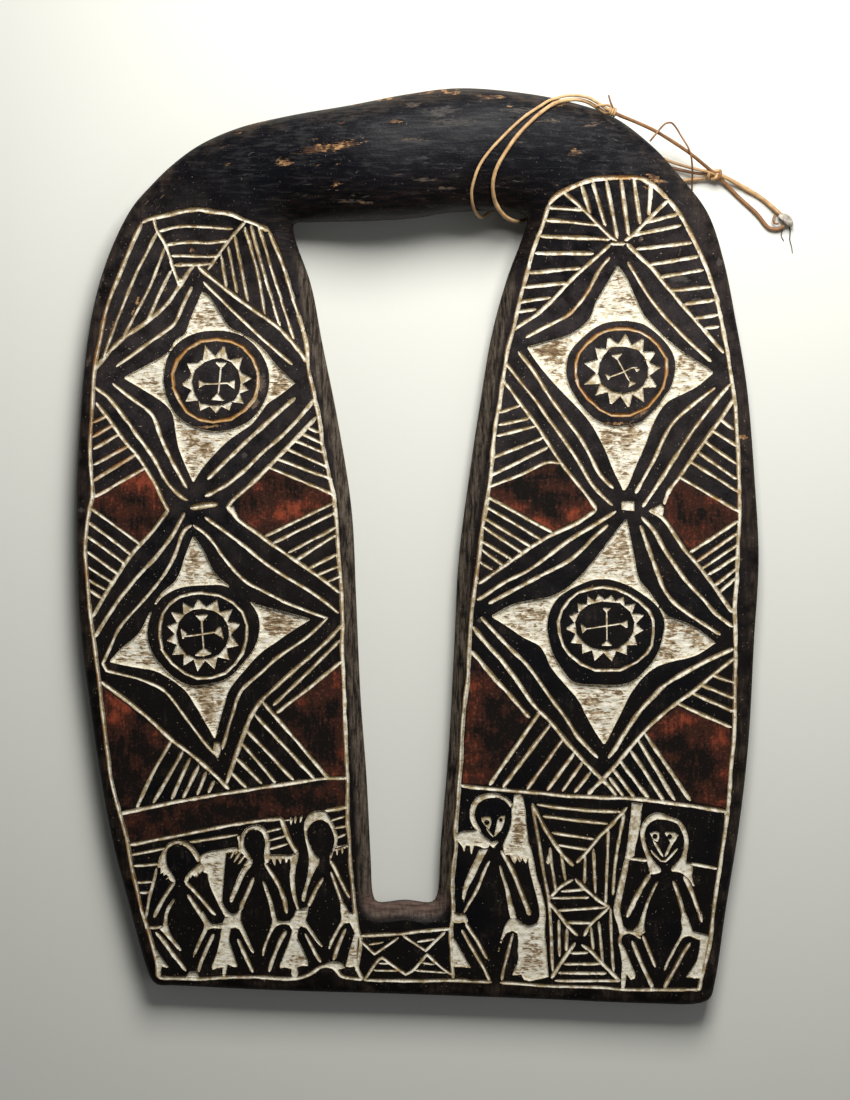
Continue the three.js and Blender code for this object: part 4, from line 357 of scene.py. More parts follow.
# worn or chipped places: middle, half length, half height, slope, and how far down to bare wood
FLECKS = [
    (-109.7, 279.2, 12.5, 2.1, 3, 1.0),
    (-98.5, 281.2, 5.3, 1.2, 6, 0.9),
    (-57.0, 259.1, 19.8, 2.8, 7, 1.0),
    (-47.2, 260.8, 9.2, 2.4, 6, 1.0),
    (-86.0, 250.9, 5.9, 2.4, -6, 1.0),
    (-90.0, 252.2, 3.3, 1.7, 0, 0.5),
    (-52.4, 236.1, 4.0, 1.6, 12, 0.6),
    (-14.2, 275.3, 5.3, 1.4, 4, 0.5),
    (-3.7, 287.4, 5.3, 2.1, 0, 0.3),
    (14.8, 281.8, 10.5, 4.0, 8, 0.1),
    (24.6, 274.6, 14.5, 3.3, 0, 0.1),
    (-19.5, 292.7, 9.2, 1.4, 4, 0.8),
    (6.8, 297.7, 15.8, 1.8, 4, 0.7),
    (21.3, 296.3, 5.3, 1.7, 0, 1.0),
    (-39.9, 289.1, 4.0, 1.2, 0, 0.8),
    (-49.1, 275.3, 2.6, 1.1, 0, 0.7),
    (-65.6, 264.7, 2.0, 0.9, 0, 1.0),
    (-63.6, 260.8, 2.6, 1.0, 0, 1.0),
    (-123.6, 250.9, 2.0, 1.2, 0, 0.9),
    (-117.0, 271.3, 3.3, 1.0, 0, 0.6),
    (-2.4, 263.4, 9.2, 1.1, 0, 0.3),
    (-32.7, 224.2, 4.6, 1.1, 0, 0.4),
    (-44.5, 225.5, 9.2, 1.1, -2, 0.3),
    (4.9, 238.4, 9.2, 1.1, 0, 0.3),
    (20.0, 233.1, 6.6, 1.2, 0, 0.3),
    (93.8, 290.4, 9.2, 2.0, 12, 0.5),
    (102.3, 257.5, 4.6, 2.2, 10, 0.5),
    (83.9, 277.2, 7.9, 1.6, 8, 0.3),
    (113.5, 275.9, 9.2, 1.3, 20, 0.3),
    (67.4, 283.8, 11.9, 2.1, 4, 0.2),
    (47.7, 293.0, 10.5, 1.7, 2, 0.5),
    (156.4, 242.3, 7.5, 2.4, -24, 0.8),
    (170.2, 178.4, 10.5, 2.8, -8, 0.2),
    (184.0, 164.0, 5.3, 1.7, 0, 0.2),
    (186.0, 172.5, 3.3, 1.6, 0, 0.3),
    (199.2, 189.0, 3.0, 3.3, -60, 0.2),
    (214.3, 73.7, 5.9, 1.7, -6, 0.9),
    (-222.3, 25.7, 3.3, 2.0, 0, 0.2),
    (-147.9, 196.2, 2.0, 2.3, 80, 1.0),
    (-184.1, 164.0, 4.0, 1.3, 70, 0.9),
    (-187.4, 156.1, 2.6, 1.1, 70, 0.9),
    (-200.6, 147.5, 5.3, 1.4, 60, 0.5),
    (-217.1, 124.4, 5.9, 2.0, 70, 0.3),
    (-212.5, 164.0, 7.9, 2.3, 68, 0.2),
    (-207.9, 177.1, 5.9, 1.7, 68, 0.3),
    (146.5, 203.5, 2.6, 1.3, 40, 0.2),
    (-102.5, 109.3, 3.3, 8.6, 0, 0.3),
    (-106.4, 96.1, 2.6, 5.3, -30, 0.3),
    (128.0, 82.6, 15.8, 1.3, 0, 0.6),
    (146.5, 88.2, 7.9, 1.6, 35, 0.4),
    (-145.9, 134.3, 5.3, 1.1, 25, 0.4),
    (-140.0, 80.3, 13.2, 1.1, 6, 0.5),
    (-122.2, 185.0, 2.0, 1.0, 0, 0.3),
    (-113.7, 61.9, 2.6, 2.0, 0, 0.2),
    (41.1, -46.8, 2.0, 2.0, 0, 0.2),
    (95.4, 223.9, 5.9, 0.3, 73, 0.4),
    (89.4, 205.5, 7.2, 0.3, 68, 0.4),
    (103.7, 219.3, 4.0, 0.3, 81, 0.4),
    (100.4, 210.4, 2.6, 0.3, 65, 0.4),
    (99.1, 200.8, 2.6, 0.3, 73, 0.4),
    (84.6, 191.0, 2.6, 0.3, 75, 0.4),
    (172.8, 196.9, 3.3, 0.3, 80, 0.4),
    (168.2, 206.8, 1.6, 0.3, 60, 0.4),
]
# tan wood left in the star fields, and red paint on the dark fields: middle, half sizes, how much
BARE = [
    (-141.3, 149.5, 7.9, 4.6, 0.90),
    (-127.5, 152.1, 4.6, 2.6, 0.60),
    (-88.6, 104.0, 5.3, 4.0, 0.90),
    (-147.9, 74.4, 4.6, 6.6, 0.80),
    (-138.0, 63.9, 5.3, 7.9, 0.80),
    (-145.9, 49.4, 4.0, 5.3, 0.90),
    (-139.4, 81.6, 11.9, 2.6, 0.50),
    (-176.2, 108.0, 5.3, 4.0, 0.25),
    (-92.6, -49.4, 11.2, 7.9, 1.10),
    (-136.1, -100.8, 11.9, 8.6, 0.95),
    (-134.7, -114.0, 3.3, 5.3, 0.50),
    (-147.9, -4.6, 4.0, 10.5, 0.35),
    (-189.4, -69.8, 9.2, 4.0, 0.20),
    (87.9, 129.7, 8.6, 6.6, 0.80),
    (93.8, 116.5, 4.0, 7.9, 0.40),
    (134.6, 71.8, 14.5, 6.6, 0.55),
    (141.2, 59.9, 5.3, 5.3, 0.50),
    (132.0, 166.6, 6.6, 4.0, 0.30),
    (186.0, 112.6, 6.6, 5.3, 0.20),
    (133.3, -1.4, 7.2, 7.9, 1.00),
    (128.0, -11.2, 5.3, 4.0, 0.50),
    (167.5, -53.4, 4.0, 9.2, 0.95),
    (180.7, -52.1, 9.2, 5.3, 0.70),
    (122.1, -123.2, 5.3, 5.3, 0.70),
    (77.3, -46.8, 13.2, 4.6, 0.25),
    (110.2, -99.5, 9.2, 2.6, 0.30),
    (118.8, -109.4, 6.6, 3.3, 0.30),
    (80.6, -69.8, 10.5, 3.3, 0.30),
    (-43.2, -262.8, 2.0, 6.6, 0.90),
    (66.8, -187.7, 3.3, 5.9, 1.10),
    (70.7, -262.2, 2.6, 2.0, 0.80),
    (74.7, -254.3, 2.0, 2.0, 0.90),
    (64.1, -277.3, 2.6, 2.6, 1.10),
    (144.5, -178.5, 1.3, 9.2, 0.40),
    (78.6, -274.0, 4.0, 2.6, 0.80),
    (-140.0, -208.8, 4.0, 2.0, 0.40),
    (179.4, -234.5, 2.0, 6.6, 0.30),
    (-169.7, -270.7, 3.3, 4.0, 1.00),
    (147.8, -247.7, 2.6, 4.0, 0.80),
]
PAINT = [
    (-181.5, 42.8, 9.9, 7.2, 0.85),
    (-201.3, 28.3, 10.5, 5.3, 0.30),
    (-182.8, 12.5, 10.5, 7.9, 0.42),
    (-210.5, 31.6, 4.0, 5.3, 0.60),
    (-189.4, 30.3, 9.2, 6.6, 0.20),
    (-172.9, 28.9, 6.6, 9.2, 0.35),
    (-199.3, 38.8, 9.2, 4.0, 0.40),
    (-86.0, 25.0, 11.9, 4.6, 0.85),
    (-65.6, 34.2, 6.6, 5.3, 0.60),
    (-90.6, 38.2, 10.5, 5.9, 0.10),
    (-101.2, 28.9, 4.0, 9.2, 0.40),
    (-101.8, 17.7, 5.3, 5.3, 0.45),
    (-95.9, 50.0, 5.3, 4.0, 0.35),
    (-77.5, 43.4, 6.6, 4.0, 0.25),
    (-69.5, 27.0, 5.3, 3.3, 0.60),
    (83.9, 36.2, 22.4, 13.8, 0.00),
    (77.3, 17.7, 9.2, 4.6, 1.00),
    (89.2, 13.8, 5.9, 4.0, 0.80),
    (105.0, 22.4, 7.2, 5.9, 0.95),
    (57.6, 34.2, 7.9, 5.3, 0.70),
    (67.4, 27.0, 6.6, 3.3, 0.75),
    (113.5, 28.9, 4.0, 4.0, 0.60),
    (87.2, 54.0, 10.5, 2.6, 0.10),
    (177.4, 21.7, 11.2, 8.6, 0.12),
    (204.4, 27.6, 5.3, 9.2, 0.45),
    (184.0, 5.2, 11.9, 6.6, 0.75),
    (166.2, 24.3, 4.0, 9.2, 0.70),
    (181.4, 38.8, 9.2, 5.3, 0.40),
    (193.9, 35.5, 7.9, 5.3, 0.30),
    (193.9, 16.4, 7.9, 5.3, 0.35),
    (-202.6, -107.4, 6.6, 11.9, 0.80),
    (-189.4, -104.8, 5.3, 4.0, 0.70),
    (-176.2, -117.9, 7.9, 5.3, 0.50),
    (-196.0, -149.5, 14.5, 17.1, 0.02),
    (-165.7, -129.1, 6.6, 5.3, 0.35),
    (-192.7, -122.5, 6.6, 6.6, 0.25),
    (-179.5, -139.0, 7.9, 15.8, 0.15),
    (-53.7, -88.9, 4.0, 7.9, 0.50),
    (-74.8, -100.1, 9.2, 5.3, 0.35),
    (-49.8, -117.9, 2.6, 29.0, 0.50),
    (-53.7, -149.5, 5.3, 5.3, 0.45),
    (-68.2, -124.5, 10.5, 17.1, 0.00),
    (-59.0, -106.1, 6.6, 7.9, 0.20),
    (32.5, -122.5, 3.3, 32.9, 0.60),
    (40.4, -101.5, 4.0, 9.2, 0.75),
    (37.1, -90.3, 3.3, 6.6, 0.60),
    (52.3, -124.5, 10.5, 26.3, 0.00),
    (42.4, -152.2, 7.9, 5.3, 0.35),
    (67.4, -100.8, 6.6, 7.9, 0.10),
    (38.5, -133.7, 5.3, 7.9, 0.50),
    (166.9, -114.0, 9.2, 5.9, 0.75),
    (187.3, -111.3, 10.5, 5.3, 0.60),
    (201.1, -124.5, 5.9, 11.9, 0.80),
    (178.1, -141.0, 11.9, 14.5, 0.00),
    (193.9, -167.3, 11.9, 4.0, 0.60),
    (196.5, -153.5, 6.6, 6.6, 0.45),
    (186.0, -129.1, 9.2, 7.9, 0.25),
    (156.4, -117.9, 5.3, 5.3, 0.60),
    (203.8, -142.3, 3.3, 10.5, 0.60),
    (-156.5, -173.2, 39.5, 9.2, 0.08),
    (-77.5, -165.3, 26.3, 9.2, 0.10),
    (-186.1, -178.5, 9.2, 6.6, 0.30),
    (-119.6, -165.3, 6.6, 5.3, 0.25),
    (-54.4, -158.8, 5.3, 4.0, 0.30),
]
STEP = 2.2
UPWARD = np.array([-0.3, 1.0])


class Groove:
    def __init__(self, line, width, tint, closed=False, deep=0.8):
        line = np.asarray(line, float)
        n = len(line)
        s = np.concatenate([[0], np.cumsum(np.linalg.norm(np.diff(line, axis=0), axis=1))])
        self.closed, self.tint = closed, tint
        shift = rng.random() * 40
        tangent = np.gradient(line, axis=0) if n > 2 else np.tile(line[-1] - line[0], (n, 1))
        tangent /= np.linalg.norm(tangent, axis=1)[:, None] + 1e-9
        normal = np.column_stack([-tangent[:, 1], tangent[:, 0]])
        sway = (noise(s + 0 * s, s * 0 + shift, 9.0, 1.0) - 0.5) * 0.34
        end = np.ones(n) if closed else np.clip(np.minimum(s, s[-1] - s) / 2.4, 0, 1)
        self.line = line + normal * (sway * end)[:, None]
        breadth = 1 + (noise(s, s * 0 + shift + 9.3, 5.0, 1.0) - 0.5) * 0.42
        self.half = width / 2 * breadth * (0.45 + 0.55 * end)
        self.end = end if not closed else np.ones(n)
        self.end = np.clip(np.minimum(s, s[-1] - s) / 0.9, 0, 1) if not closed else np.ones(n)
        self.depth = self.half * deep
        self.normal = normal

    def points(self):
        return self.line, self.line + self.normal * self.half[:, None], self.line - self.normal * self.half[:, None]

    def field(self, P):
        """How far into the cut each point is, from 0 at its lips to 1 on its line, and its depth there."""
        lo = self.line.min(0) - self.half.max() - 0.1
        hi = self.line.max(0) + self.half.max() + 0.1
        near = np.nonzero(((P > lo) & (P < hi)).all(1))[0]
        if not len(near):
            return near, None, None, None, None
        d, t = to_segments(P[near], self.line)
        half = self.half[:-1][None] * (1 - t) + self.half[1:][None] * t
        ratio = d / half
        k = ratio.argmin(1)
        row = np.arange(len(near))
        tk = t[row, k]
        end = self.end[:-1][k] * (1 - tk) + self.end[1:][k] * tk
        f = np.clip(1 - ratio[row, k], 0, 1) * end
        deep = (self.depth[:-1][k] * (1 - tk) + self.depth[1:][k] * tk) * f
        along = self.line[1:] - self.line[:-1]
        across = np.column_stack([-along[:, 1], along[:, 0]])
        across *= np.where(across @ UPWARD < 0, -1, 1)[:, None]
        side = np.sign(((P[near] - self.line[:-1][k] - tk[:, None] * along[k]) * across[k]).sum(1))
        return near, f, deep, side * np.minimum(ratio[row, k], 1), ratio[row, k] < 1.06


def ellipse(cx, cy, rx, ry, n, turn=0.0):
    a = 2 * np.pi * (np.arange(n) + turn) / n
    return np.column_stack([cx + rx * np.cos(a), cy + ry * np.sin(a)])


class Patch:
    """A sunk field inside a line, with islands left standing in it."""

    def __init__(self, line, depth, foot, kind, islands=(), fill=1.3):
        self.line, self.depth, self.foot, self.kind, self.islands, self.fill = line, depth, foot, kind, list(islands), fill

    def field(self, P):
        lo, hi = self.line.min(0), self.line.max(0)
        near = np.nonzero(((P > lo) & (P < hi)).all(1))[0]
        none = np.zeros(0, int), None, None, None, None
        if not len(near):
            return none
        near = near[inside(P[near], self.line)]
        for hole in self.islands:
            near = near[~inside(P[near], hole)]
        if not len(near):
            return none
        d = self.to_edge(P[near])
        higher = self.to_edge(P[near] + UPWARD * 0.25)
        up = np.clip((d - higher) / 0.2, -1, 1) * np.clip(1.6 - d / self.foot, 0, 1)
        f = np.clip(d / self.foot, 0, 1)
        return near, f, self.depth * smooth(0.15 + 0.85 * f) * (f > 0), up, d

    def to_edge(self, Q):
        d = line_distance(Q, self.line)
        for hole in self.islands:
            d = np.minimum(d, line_distance(Q, hole))
        return d

    def fill_points(self):
        lo, hi = self.line.min(0), self.line.max(0)
        nx, ny = int((hi[0] - lo[0]) / self.fill) + 2, int((hi[1] - lo[1]) / self.fill) + 2
        gx, gy = np.meshgrid(np.arange(nx), np.arange(ny))
        P = np.column_stack([gx.ravel() + 0.5 * (gy.ravel() % 2), gy.ravel()]).astype(float) * self.fill + lo
        P += (rng.random(P.shape) - 0.5) * self.fill * 0.5
        near, f = self.field(P)[:2]
        if not len(near):
            return np.zeros((0, 2))
        return P[near[f > 0.55]]

    def foot_points(self):
        out = []
        for loop, sign in [(self.line, 1)] + [(h, -1) for h in self.islands]:
            nxt = np.roll(loop, -1, axis=0)
            mid = (loop + nxt) / 2
            t = nxt - loop
            n = np.column_stack([-t[:, 1], t[:, 0]]) / (np.linalg.norm(t, axis=1)[:, None] + 1e-9)
            for side in (1, -1):
                q = mid + n * side * self.foot * 1.02
                near, f = self.field(q)[:2]
                if len(near):
                    out.append(q[near[f > 0.9]])
        return np.vstack(out) if out else np.zeros((0, 2))


grooves, patches = [], []
for width, tint, text in GROOVES:
    for pts in table(text):
        # each cut runs on a little past its marks
        for end, nxt in ((0, 1), (-1, -2)):
            v = pts[end] - pts[nxt]
            pts[end] = pts[end] + v / np.linalg.norm(v) * 0.5
        grooves.append(Groove(cut_line(pts, STEP), width * 1.17 if width > 1 else width, tint))
for width, tint, text in RINGS:
    corners = table(text)[0]
    corners = np.vstack([corners, corners[:1]])
    line = np.vstack([resample(corners[k : k + 2], STEP)[:-1] for k in range(len(corners) - 1)] + [corners[:1]])
    grooves.append(Groove(line, width, tint, closed=True))
for cx, cy, out_x, out_y, half, tips, hole in TOOTHED:
    tips = table(tips)[0]
    inner = table(hole)[0]
    inner = np.vstack([resample(np.vstack([inner[k], inner[(k + 1) % len(inner)]]), 2.0)[:-1] for k in range(len(inner))])
    # the ring's outer side with a tooth drawn out at each tip
    loop = []
    angles = sorted((math.atan2((t[1] - cy) / out_y, (t[0] - cx) / out_x), tuple(t)) for t in tips)
    for k, (a, t) in enumerate(angles):
        spread = half / ((out_x + out_y) / 2)
        gap = (angles[(k + 1) % len(angles)][0] - a) % (2 * math.pi)
        back = (a - angles[k - 1][0]) % (2 * math.pi)
        left, right = min(spread, back * 0.49), min(spread, gap * 0.49)
        for b, q in ((a - left, None), (a, t), (a + right, None)):
            loop.append(np.array(q) if q is not None else np.array([cx + out_x * math.cos(b), cy + out_y * math.sin(b)]))
        gap_end = a + gap - min(spread, gap * 0.49)
        for b in np.arange(a + right + 0.12, gap_end - 0.06, 0.12):
            loop.append(np.array([cx + out_x * math.cos(b), cy + out_y * math.sin(b)]))
    loop = np.array(loop)
    loop = np.vstack([resample(np.vstack([loop[k], loop[(k + 1) % len(loop)]]), 1.6)[:-1] for k in range(len(loop))])
    patches.append(Patch(loop, 1.0, 0.55, "ring", [inner], 1.1))
for width, arms, wings in CROSSES:
    for pts in table(arms):
        grooves.append(Groove(cut_line(pts, 1.6), width, 0.1))
    for pts in table(wings):
        loop = np.vstack([resample(np.vstack([pts[k], pts[(k + 1) % len(pts)]]), 1.4)[:-1] for k in range(len(pts))])
        patches.append(Patch(loop, 0.9, 0.5, "ring", [], 1.0))


def loop_line(pts, step):
    pts = np.vstack([pts, pts[:1]])
    return cut_line(pts, step)[:-1]


for text, disc in STARS:
    patches.append(Patch(loop_line(table(text)[0], 1.6), 2.4, 1.0, "star", [loop_line(table(disc)[0], 1.8)], 1.12))
for kind, text in PATCHES:
    if kind == "r":
        patches.append(Patch(loop_line(table(text)[0], 1.3), 1.5, 1.0, kind, [], 1.1))
    else:
        patches.append(Patch(loop_line(table(text)[0], 1.3), 1.5, 0.8, kind, [], 1.15))
for text, px, py, pr in EYES:
    patches.append(Patch(loop_line(table(text)[0], 1.0), 0.8, 0.4, "eye", [ellipse(px, py, pr, pr, 10)], 0.8))
reds = [loop_line(table(text)[0], 4.0) for text in REDS]

# ---- points and lines of the face -----------------------------------------
coords, links = [], []


def add_line(p, closed):
    base = sum(len(c) for c in coords)
    coords.append(p)
    n = len(p)
    for k in range(n if closed else n - 1):
        links.append((base + k, base + (k + 1) % n))
    return np.arange(base, base + n)


def rings_of(loop, step, offsets):
    """The loop resampled, and copies of it moved into the wood."""
    ring = resample(np.vstack([loop, loop[:1]]), step)[:-1]
    t = np.roll(ring, -1, axis=0) - np.roll(ring, 1, axis=0)
    t /= np.linalg.norm(t, axis=1)[:, None]
    n = np.column_stack([-t[:, 1], t[:, 0]])
    probe = ring + n * 0.5
    into = inside(probe, outline) & ~inside(probe, opening)
    if into.mean() < 0.5:
        n = -n
    return ring, [ring + n * d for d in offsets]


EDGE_STEPS = (0.12, 0.35, 0.8, 1.6, 2.8, 4.4, 6.6)
out_ring, out_rows = rings_of(outline, 3.0, EDGE_STEPS)
in_ring, in_rows = rings_of(opening, 2.6, EDGE_STEPS + (8.8, 11.0))
rim_out = add_line(out_ring, True)
rim_in = add_line(in_ring, True)
for row in out_rows[:5] + in_rows[:5]:
    add_line(row, True)
for row in out_rows[5:] + in_rows[5:]:
    coords.append(row)
for g in grooves:
    mid, left, right = g.points()
    add_line(mid, False)
    add_line(left, False)
    add_line(right, False)
for q in patches:
    add_line(q.line, True)
    for hole in q.islands:
        add_line(hole, True)
    coords.append(q.foot_points())
    coords.append(q.fill_points())


def face_fields(P):
    """Depth of the cutting at each point, what kind it is, which wall of it this is, and how far in from its edge."""
    n = len(P)
    cut, depth, tint, area, upper, inset = np.zeros(n), np.zeros(n), np.zeros(n), np.zeros(n), np.zeros(n), np.zeros(n)
    for g in grooves:
        near, f, deep, side, close = g.field(P)
        if len(near):
            more = (f >= cut[near]) & close
            tint[near[more]] = g.tint
            upper[near[more]] = side[more]
            cut[near] = np.maximum(cut[near], f)
            depth[near] = np.maximum(depth[near], deep)
    for q in patches:
        near, f, deep, side, d = q.field(P)
        if len(near):
            more = f >= cut[near]
            tint[near[more]] = 0.1
            upper[near[more]] = side[more]
            cut[near] = np.maximum(cut[near], f)
            x, y = P[near, 0], P[near, 1]
            if q.kind == "star":
                rough = (noise(x, y, 5.0, 1.7, 1) - 0.5) * 0.9 + (noise(x, y, 2.2, 1.2, 2) - 0.5) * 0.45
                area[near] = np.maximum(area[near], f)
                inset[near] = np.maximum(inset[near], np.clip(d / 8, 0, 1))
            elif q.kind in ("h", "b"):
                rough = (noise(x, y, 3.4, 1.5, 3) - 0.5) * 0.6
                area[near] = np.maximum(area[near], 0.5 * f)
                inset[near] = np.maximum(inset[near], np.clip(d / 12, 0, 1))
            elif q.kind == "v":
                rough = (noise(x, y, 1.5, 3.0, 4) - 0.5) * 0.4
            else:
                rough = (noise(x, y, 1.8, 1.8, 5) - 0.5) * 0.2
            depth[near] = np.maximum(depth[near], deep + rough * f)
    return cut, depth, tint, area, upper, inset


# more chips than the named ones: small, long the way the bar runs, and specks on the panels
for _ in range(150):
    a = rng.uniform(-1.35, 1.2)
    r = rng.uniform(0.25, 0.93)
    px, py = 190 * math.sin(a) * (0.86 + 0.14 * r), 190 + 12 * math.sin(a) + (rng.uniform(0, 110) - 10)
    if inside(np.array([[px, py]]), outline)[0] and not inside(np.array([[px, py]]), opening)[0]:
        FLECKS.append((px, py, rng.uniform(0.6, 3.4), rng.uniform(0.3, 0.55), -30 * a + rng.uniform(-6, 6), rng.choice([0.0, 0.1, 0.2, 0.4, 0.9])))
for _ in range(110):
    px, py = rng.uniform(-215, 210), rng.uniform(-280, 180)
    if inside(np.array([[px, py]]), outline)[0] and not inside(np.array([[px, py]]), opening)[0]:
        FLECKS.append((px, py, rng.uniform(0.4, 1.1), rng.uniform(0.3, 0.7), rng.uniform(-90, 90), rng.choice([0.3, 0.6, 1.0])))


def worn_places(P):
    """How far inside a worn place each point is, and how bare that place is."""
    on, bare = np.zeros(len(P)), np.zeros(len(P))
    for fx, fy, long_by, wide_by, slope, how in FLECKS:
        near = np.nonzero((np.abs(P[:, 0] - fx) < long_by * 1.5 + wide_by) & (np.abs(P[:, 1] - fy) < long_by * 1.5 + wide_by))[0]
        if not len(near):
            continue
        c, s_ = math.cos(math.radians(slope)), math.sin(math.radians(slope))
        q = P[near] - (fx, fy)
        r = np.sqrt(((q[:, 0] * c + q[:, 1] * s_) / long_by) ** 2 + ((-q[:, 0] * s_ + q[:, 1] * c) / wide_by) ** 2)
        value = np.clip(1.5 - r, 0, 1)
        more = value > on[near]
        bare[near[more]] = how
        on[near[more]] = value[more]
    return on, bare


def jitter_grid(step, amount=0.55):
    lo, hi = outline.min(0), outline.max(0)
    nx, ny = int((hi[0] - lo[0]) / step) + 2, int((hi[1] - lo[1]) / step / 0.866) + 2
    gx, gy = np.meshgrid(np.arange(nx), np.arange(ny))
    P = np.column_stack([(gx + 0.5 * (gy % 2)).ravel(), 0.866 * gy.ravel()]) * step + lo
    P = P + (rng.random(P.shape) - 0.5) * step * amount
    return P[inside(P, outline) & ~inside(P, opening)]


fixed = np.vstack(coords)
cells = set(map(tuple, np.floor(fixed / 1.5).astype(int)))
filler = jitter_grid(2.9)
keep = np.array([(int(math.floor(x / 1.5)), int(math.floor(y / 1.5))) not in cells for x, y in filler])
d_o, d_i = line_distance(filler, outline), line_distance(filler, opening)
keep &= (d_o > 7.6) & (d_i > 1.2)
cut_f = face_fields(filler)[0]
keep &= cut_f <= 0
coords.append(filler[keep])
# closer points where the wood is worn, so that each place keeps its shape
worn_points = []
for fx, fy, long_by, wide_by, slope, how in FLECKS:
    c, s_ = math.cos(math.radians(slope)), math.sin(math.radians(slope))
    step = 0.75 if long_by < 3 else 1.15 if long_by * wide_by > 30 else 0.95
    a, b = np.meshgrid(np.arange(-long_by - step, long_by + 1.5 * step, step), np.arange(-wide_by - step / 2, wide_by + step, step))
    q = np.column_stack([a.ravel(), b.ravel()]) + (rng.random((a.size, 2)) - 0.5) * step * 0.4
    worn_points.append(np.column_stack([fx + q[:, 0] * c - q[:, 1] * s_, fy + q[:, 0] * s_ + q[:, 1] * c]))
worn_points = np.vstack(worn_points)
worn_points = worn_points[inside(worn_points, outline) & ~inside(worn_points, opening)]
taken = set(map(tuple, np.floor(np.vstack(coords[:-1]) / 0.8).astype(int)))
d_o, d_i = line_distance(worn_points, outline), line_distance(worn_points, opening)
keep = np.array([tuple(k) not in taken for k in np.floor(worn_points / 0.8).astype(int)]) & (d_o > 0.6) & (d_i > 0.6)
keep &= face_fields(worn_points)[0] <= 0
coords.append(worn_points[keep])


def triangulate(points, lines):
    vs, _, faces, orig, _, _ = delaunay_2d_cdt([Vector(p) for p in points], lines, [], 0, 1e-4)
    V = np.array([v[:] for v in vs])
    F = np.array([f[:] for f in faces])
    centre = V[F].mean(1)
    F = F[inside(centre, out_ring) & ~inside(centre, in_ring)]
    where = {}
    for k, ids in enumerate(orig):
        for i in ids:
            where[i] = k
    used = np.unique(F)
    remap = -np.ones(len(V), int)
    remap[used] = np.arange(len(used))
    return V[used], remap[F], {i: remap[k] for i, k in where.items()}


P = np.vstack(coords)
face_xy, face_tris, face_index = triangulate(P, links)
area2 = np.cross(face_xy[face_tris[:, 1]] - face_xy[face_tris[:, 0]], face_xy[face_tris[:, 2]] - face_xy[face_tris[:, 0]])
face_tris[area2 < 0] = face_tris[area2 < 0][:, ::-1]
cut, depth, tint, area, upper, inset = face_fields(face_xy)
worn, worn_bare = worn_places(face_xy)
front, back, d_out, d_in, w = surfaces(face_xy)
x, y = face_xy[:, 0], face_xy[:, 1]
edge_fade = smooth(np.minimum(d_out, d_in) / 3)
swell = (noise(x, y, 46, 60, 6) - 0.5) * 0.9 + (noise(x, y, 17, 23, 7) - 0.5) * 0.35 + (noise(x, y, 7, 7, 8) - 0.5) * 0.1
swell = np.minimum(swell * edge_fade, 0.35)
bevel_band = smooth(1 - d_in / 13) * (1 - w)
swell -= bevel_band * noise(x, y, 2.6, 9.0, 9) * 0.45 * edge_fade
# the bar keeps the long flats and fibres of its wood
swell -= w * edge_fade * (np.abs(noise(x, y, 26, 9, 31) - 0.5) * 0.9 + np.maximum(noise(x, y, 12, 2.8, 32) - 0.62, 0) * 1.1)
swell -= smooth(worn) * (0.12 + 0.3 * worn_bare) * edge_fade * (1 - smooth(cut * 3))
face_z = front + swell - depth

# red paint: inside a painted field or not, and how much of it is left
red, paint_left = np.zeros(len(face_xy)), np.zeros(len(face_xy))
for loop in reds:
    near = np.nonzero(inside(face_xy, loop))[0]
    red[near] = np.clip(line_distance(face_xy[near], loop) / 2.0, 0, 1)
top_sum, low_sum = np.full(len(face_xy), 0.25 * 0.3), np.full(len(face_xy), 0.3)
for px, py, rx, ry, how in PAINT:
    weight = np.exp(-1.1 * (((x - px) / rx) ** 2 + ((y - py) / ry) ** 2))
    top_sum += weight * how
    low_sum += weight
paint_left = top_sum / low_sum
# tan wood in the star fields
bare_wood = np.zeros(len(face_xy))
for px, py, rx, ry, how in BARE:
    bare_wood = np.maximum(bare_wood, how * np.clip(1.35 - np.sqrt(((x - px) / rx) ** 2 + ((y - py) / ry) ** 2) * 0.8, 0, 1))

# ---- back -----------------------------------------------------------------
coords_b = [out_ring, in_ring]
links_b = [(k, (k + 1) % len(out_ring)) for k in range(len(out_ring))]
nb = len(out_ring)
links_b += [(nb + k, nb + (k + 1) % len(in_ring)) for k in range(len(in_ring))]
for ring, rows in ((out_ring, out_rows), (in_ring, in_rows)):
    for row in rows[:6]:
        coords_b.append(row)
gb = jitter_grid(6.5)
do_b, di_b = line_distance(gb, outline), line_distance(gb, opening)
coords_b.append(gb[(do_b > 6.5) & (di_b > 6.5)])
back_xy, back_tris, back_index = triangulate(np.vstack(coords_b), links_b)
area2 = np.cross(back_xy[back_tris[:, 1]] - back_xy[back_tris[:, 0]], back_xy[back_tris[:, 2]] - back_xy[back_tris[:, 0]])
back_tris[area2 > 0] = back_tris[area2 > 0][:, ::-1]
_, back_z, bo, bi, wb = surfaces(back_xy)
back_z = back_z + noise(back_xy[:, 0], back_xy[:, 1], 14, 34, 11) * 0.5 * smooth(np.minimum(bo, bi) / 4)

